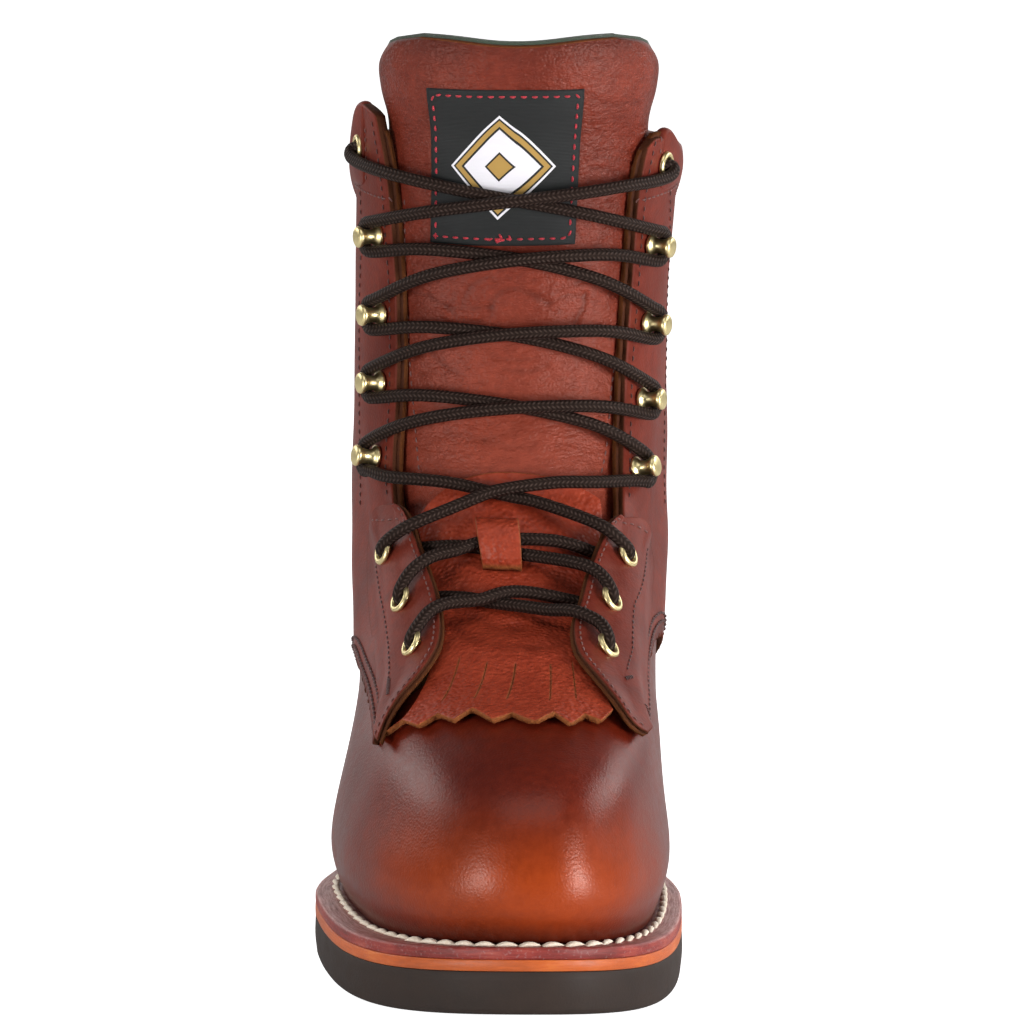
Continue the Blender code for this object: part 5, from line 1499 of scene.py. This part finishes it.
# %% Lace routes, each a row of level, turn and height
LACE, HOOK_LACE, HOOK_WRAP = 4.1, 3.75, 4.8
LOW = {
    "lateral": [(96.7, 0.806, 8.9), (100.2, 0.833, 9.0), (103.6, 0.869, 7.0), (106.9, 0.925, 4.0),
                (108.8, 0.957, 3.4), (110.1, 0.992, 2.2), (110.1, 1.025, 1.2), (108.8, 1.089, 0.0),
                (107.5, 1.126, -0.3)],
    "medial": [(96.7, 1.147, 8.9), (99.4, 1.120, 9.0), (102.2, 1.084, 7.6), (104.8, 1.046, 4.0),
               (107.2, 0.995, 1.5), (108.8, 0.940, -0.2), (109.1, 0.906, -0.2), (108.2, 0.848, 0.0),
               (107.2, 0.816, -0.2)]}
KEPT = {
    "lateral": [(106.3, 0.784, 8.9), (110.7, 0.819, 9.0), (114.4, 0.851, 7.2), (117.7, 0.887, 4.6),
                (120.7, 0.925, 3.2), (122.3, 0.967, 2.8), (122.7, 1.002, 2.4), (122.3, 1.075, 1.2),
                (119.2, 1.146, 0.2), (116.9, 1.185, -0.2)],
    "medial": [(107.2, 1.156, 8.9), (110.4, 1.127, 9.0), (113.4, 1.093, 7.2), (116.6, 1.055, 4.0),
               (119.6, 1.003, 1.0), (121.5, 0.965, -0.9), (121.9, 0.914, -0.8), (121.1, 0.871, -0.3),
               (119.2, 0.815, -0.1), (117.7, 0.775, -0.2)]}
FIRST = {
    "lateral": [(116.6, 0.764, 8.7), (121.1, 0.815, 9.0), (126.9, 0.874, 6.6), (131.8, 0.930, 5.2),
                (134.5, 0.964, 4.6), (135.9, 0.995, 4.4), (136.9, 1.031, 4.2), (137.3, 1.081, 4.2),
                (136.4, 1.147, 4.2)],
    "medial": [(116.2, 1.194, 8.7), (120.3, 1.157, 9.0), (125.2, 1.116, 6.6), (130.4, 1.063, 3.6),
               (133.6, 1.023, 1.6), (135.0, 1.000, 0.4), (136.9, 0.949, 0.3), (137.8, 0.892, 1.5),
               (136.9, 0.811, 3.4), (135.9, 0.735, 4.2)]}
LACE_OVER, LACE_UNDER, LACE_BOW, TOP_BOW = 4.2, 0.2, 11.0, 4.0


def from_eyelet(place, route):
    """From inside the eyelet up over its rim, then along a route."""
    rising = [(*place, flap_height(place.turn) + rise) for rise in (-3.0, -0.5, 1.6)]
    return [on_form(*spot) for spot in rising + route]


def span(start, end, middle, bow):
    points = []
    for share in np.arange(1, 6) / 6:
        level, turn, height = np.add(start, np.subtract(end, start) * share)
        level += bow * 4 * share * (1 - share)
        points.append(on_form(level, turn, height + (middle - height) * math.sin(share * math.pi) ** 2))
    return points


def wrap(place, side):
    """Half a turn round the outer side of a hook."""
    v, theta = np.interp(place.level, FINE_LEVELS, FINE), place.turn * math.pi
    normal = leaned(form_normal(v, theta), side, HOOK_LEAN)
    up = form(v + 1e-3, theta) - form(v - 1e-3, theta)
    up /= np.linalg.norm(up)
    out = np.cross(up, normal) * -SIDES[side]
    centre = on_form(*place, METAL_SEAT) + normal * HOOK_LACE
    angles = np.radians(np.arange(-90, 91, 30))
    return [centre + HOOK_WRAP * (math.cos(a) * out + math.sin(a) * up) for a in angles]


def hook_lace(near, far, over):
    points = from_eyelet(EYELETS[near][2], FIRST[near])
    height = METAL_SEAT + HOOK_LACE
    for order in range(4):
        level, turn = HOOKS[far][order]
        if order:
            middle = LACE_OVER if over else LACE_UNDER
            points += span(start, (level - HOOK_WRAP, turn, height), middle, LACE_BOW)
        points += wrap(HOOKS[far][order], far)
        start = (level + HOOK_WRAP, turn, height)
        near, far, over = far, near, not over
    level, turn = TOP_EYELETS[far]
    out = -SIDES[far]
    end = (level - 3.2, turn - 0.020 * out, 3.6)
    points += span(start, end, LACE_OVER if over else LACE_UNDER, TOP_BOW)
    arrival = [end, (level - 1.6, turn + 0.006 * out, 3.6), (level - 0.3, turn + 0.012 * out, 2.5),
               (level, turn, 0.2), (level, turn, -2.6)]
    return points + [on_form(*spot) for spot in arrival]


# %% Laces as braided cords
CORD_SIDES, CORD_STEP = 14, 0.9


def evenly(points, spacing):
    """A smooth line through points, with even spacing."""
    points = np.asarray(points, float)
    knots = np.append(0, np.cumsum(np.linalg.norm(np.diff(points, axis=0), axis=1) ** 0.6))
    fine = natural_spline(knots, points)(np.linspace(0, knots[-1], 4000))
    length = np.append(0, np.cumsum(np.linalg.norm(np.diff(fine, axis=0), axis=1)))
    marks = np.linspace(0, length[-1], max(int(length[-1] / spacing), 8))
    return np.stack([np.interp(marks, length, fine[:, k]) for k in range(3)], -1), marks


def cord_piece(name, points):
    path, marks = evenly(points, CORD_STEP)
    ahead = np.gradient(path, axis=0)
    ahead /= np.linalg.norm(ahead, axis=1, keepdims=True)
    side = np.cross(ahead[0], (0.0, 0.0, 1.0))
    angles = np.arange(CORD_SIDES)[:, None] / CORD_SIDES * math.tau
    rings = []
    for spot, way in zip(path, ahead):
        side = side - way * (side @ way)
        side /= np.linalg.norm(side)
        rings.append(spot + LACE / 2 * (np.cos(angles) * side + np.sin(angles) * np.cross(way, side)))
    faces, uv = [], []
    for i in range(len(rings) - 1):
        a, b = i * CORD_SIDES, (i + 1) * CORD_SIDES
        for j in range(CORD_SIDES):
            k = (j + 1) % CORD_SIDES
            faces.append([a + j, a + k, b + k, b + j])
            low, high = j / CORD_SIDES, (j + 1) / CORD_SIDES
            uv += [(marks[i], low), (marks[i], high), (marks[i + 1], high), (marks[i + 1], low)]
    start_cap = list(range(CORD_SIDES))
    faces += [start_cap[::-1], [(len(rings) - 1) * CORD_SIDES + j for j in start_cap]]
    uv += [(0.0, 0.0)] * (2 * CORD_SIDES)
    print(name, "is", round(float(marks[-1])), "mm long")
    return new_piece(name, np.concatenate(rings), faces, BRAID, loop_uv=uv)


for name, order, routes in (("lace_low", 0, LOW), ("lace_keeper", 1, KEPT)):
    for side in SIDES:
        lace = cord_piece(f"{name}_from_{side}", from_eyelet(EYELETS[side][order], routes[side]))
        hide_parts(name + "_crossing")
for near, far, over in (("lateral", "medial", True), ("medial", "lateral", False)):
    lace = cord_piece("lace_hooks_from_" + near, hook_lace(near, far, over))
    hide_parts("lace_hook_lacing")

# %% Remove the shapes that were only copied
for shape in (FINE_STITCH, ARCH_STITCH, WELT_STITCH, LABEL_STITCH, EYELET_SHAPE, HOOK_SHAPE):
    bpy.data.objects.remove(shape)

# %% [markdown]
# ## Floor and light
# The boot stands on a white light table in a studio: the table and the paper behind glow, two soft
# boxes stand left and right of the camera and give the paired highlights on the toe, two weaker ones
# stand further round and one hangs above, and the room behind the camera is dark. That is why the
# top of the vamp looks deep and the sides of the shaft have pale rims. The room is a world whose
# brightness depends only on direction.

# %% Floor
FLOOR_HALF, TABLE_GLOW = 6.0, 0.95
paper, table, shader = new_material("white_light_table", Base_Color=linear("#f4f4f4"), Roughness=0.9,
                                    Emission_Color=linear("#ffffff"))
to_eye = add(table, "ShaderNodeLightPath").outputs["Is Camera Ray"]
shine = add(table, "ShaderNodeMath", {0: to_eye, 1: TABLE_GLOW}, operation="MULTIPLY")
table.links.new(shine.outputs[0], shader.inputs["Emission Strength"])
floor_mesh = bpy.data.meshes.new("studio_floor")
corners = [(x * FLOOR_HALF, y * FLOOR_HALF, 0) for x, y in ((-1, -1), (1, -1), (1, 1), (-1, 1))]
floor_mesh.from_pydata(corners, [], [[0, 1, 2, 3]])
floor_mesh.materials.append(paper)
floor = bpy.data.objects.new("studio_floor", floor_mesh)
scene.collection.objects.link(floor)

# %% Room
PAPER_GLOW, ROOM_GLOW = 1.25, 0.10
PAPER_EDGES = ((1, 0.60, 0.95), (2, 0.68, 0.38))
world = bpy.data.worlds.new("white_studio")
world.use_nodes = True
room = world.node_tree
way = add(room, "ShaderNodeSeparateXYZ", {0: add(room, "ShaderNodeTexCoord").outputs["Generated"]}).outputs
shares = [add(room, "ShaderNodeMapRange", {"Value": way[axis], "From Min": start, "From Max": end},
              interpolation_type="SMOOTHSTEP").outputs[0] for axis, start, end in PAPER_EDGES]
right = add(room, "ShaderNodeMapRange", {"Value": way[0], "From Min": -1.0, "From Max": 1.0,
                                         "To Min": 0.8, "To Max": 1.25})
paper_share = add(room, "ShaderNodeMath", {0: shares[0], 1: shares[1]}, operation="MULTIPLY")
sided = add(room, "ShaderNodeMath", {0: paper_share.outputs[0], 1: right.outputs[0]}, operation="MULTIPLY")
glow = add(room, "ShaderNodeMath", {0: sided.outputs[0], 1: PAPER_GLOW, 2: ROOM_GLOW},
           operation="MULTIPLY_ADD")
seen = add(room, "ShaderNodeMath", {0: add(room, "ShaderNodeLightPath").outputs["Is Camera Ray"],
                                    1: glow.outputs[0]}, operation="MAXIMUM")
room.nodes["Background"].inputs["Color"].default_value = linear("#ffffff")
room.links.new(seen.outputs[0], room.nodes["Background"].inputs["Strength"])
scene.world = world
scene.view_settings.view_transform = "Standard"

# %% Soft boxes, as rows of azimuth, elevation, distance, width, height and watts
SOFT_BOXES = {
    "left": (-44, 3, 1.5, 0.45, 0.42, 10.5),
    "right": (52, 3, 1.5, 0.55, 0.50, 22),
    "left_side": (-118, 22, 1.5, 0.8, 0.6, 5),
    "right_side": (116, 22, 1.5, 0.8, 0.6, 6.5),
    "top": (0, 66, 1.6, 1.5, 1.1, 7),
}
AIM = Vector((0.0, 0.0, 0.13))
for name, (azimuth, elevation, distance, width, height, watts) in SOFT_BOXES.items():
    a, e = math.radians(azimuth), math.radians(elevation)
    light = bpy.data.lights.new("soft_box_" + name, "AREA")
    light.shape = "RECTANGLE"
    light.size = width
    light.size_y = height
    light.energy = watts
    lamp = bpy.data.objects.new("soft_box_" + name, light)
    away = Vector((math.sin(a) * math.cos(e), -math.cos(a) * math.cos(e), math.sin(e)))
    lamp.location = AIM + distance * away
    lamp.rotation_euler = (AIM - lamp.location).to_track_quat("-Z", "Y").to_euler()
    scene.collection.objects.link(lamp)
print("floor and", len(SOFT_BOXES), "lights set")
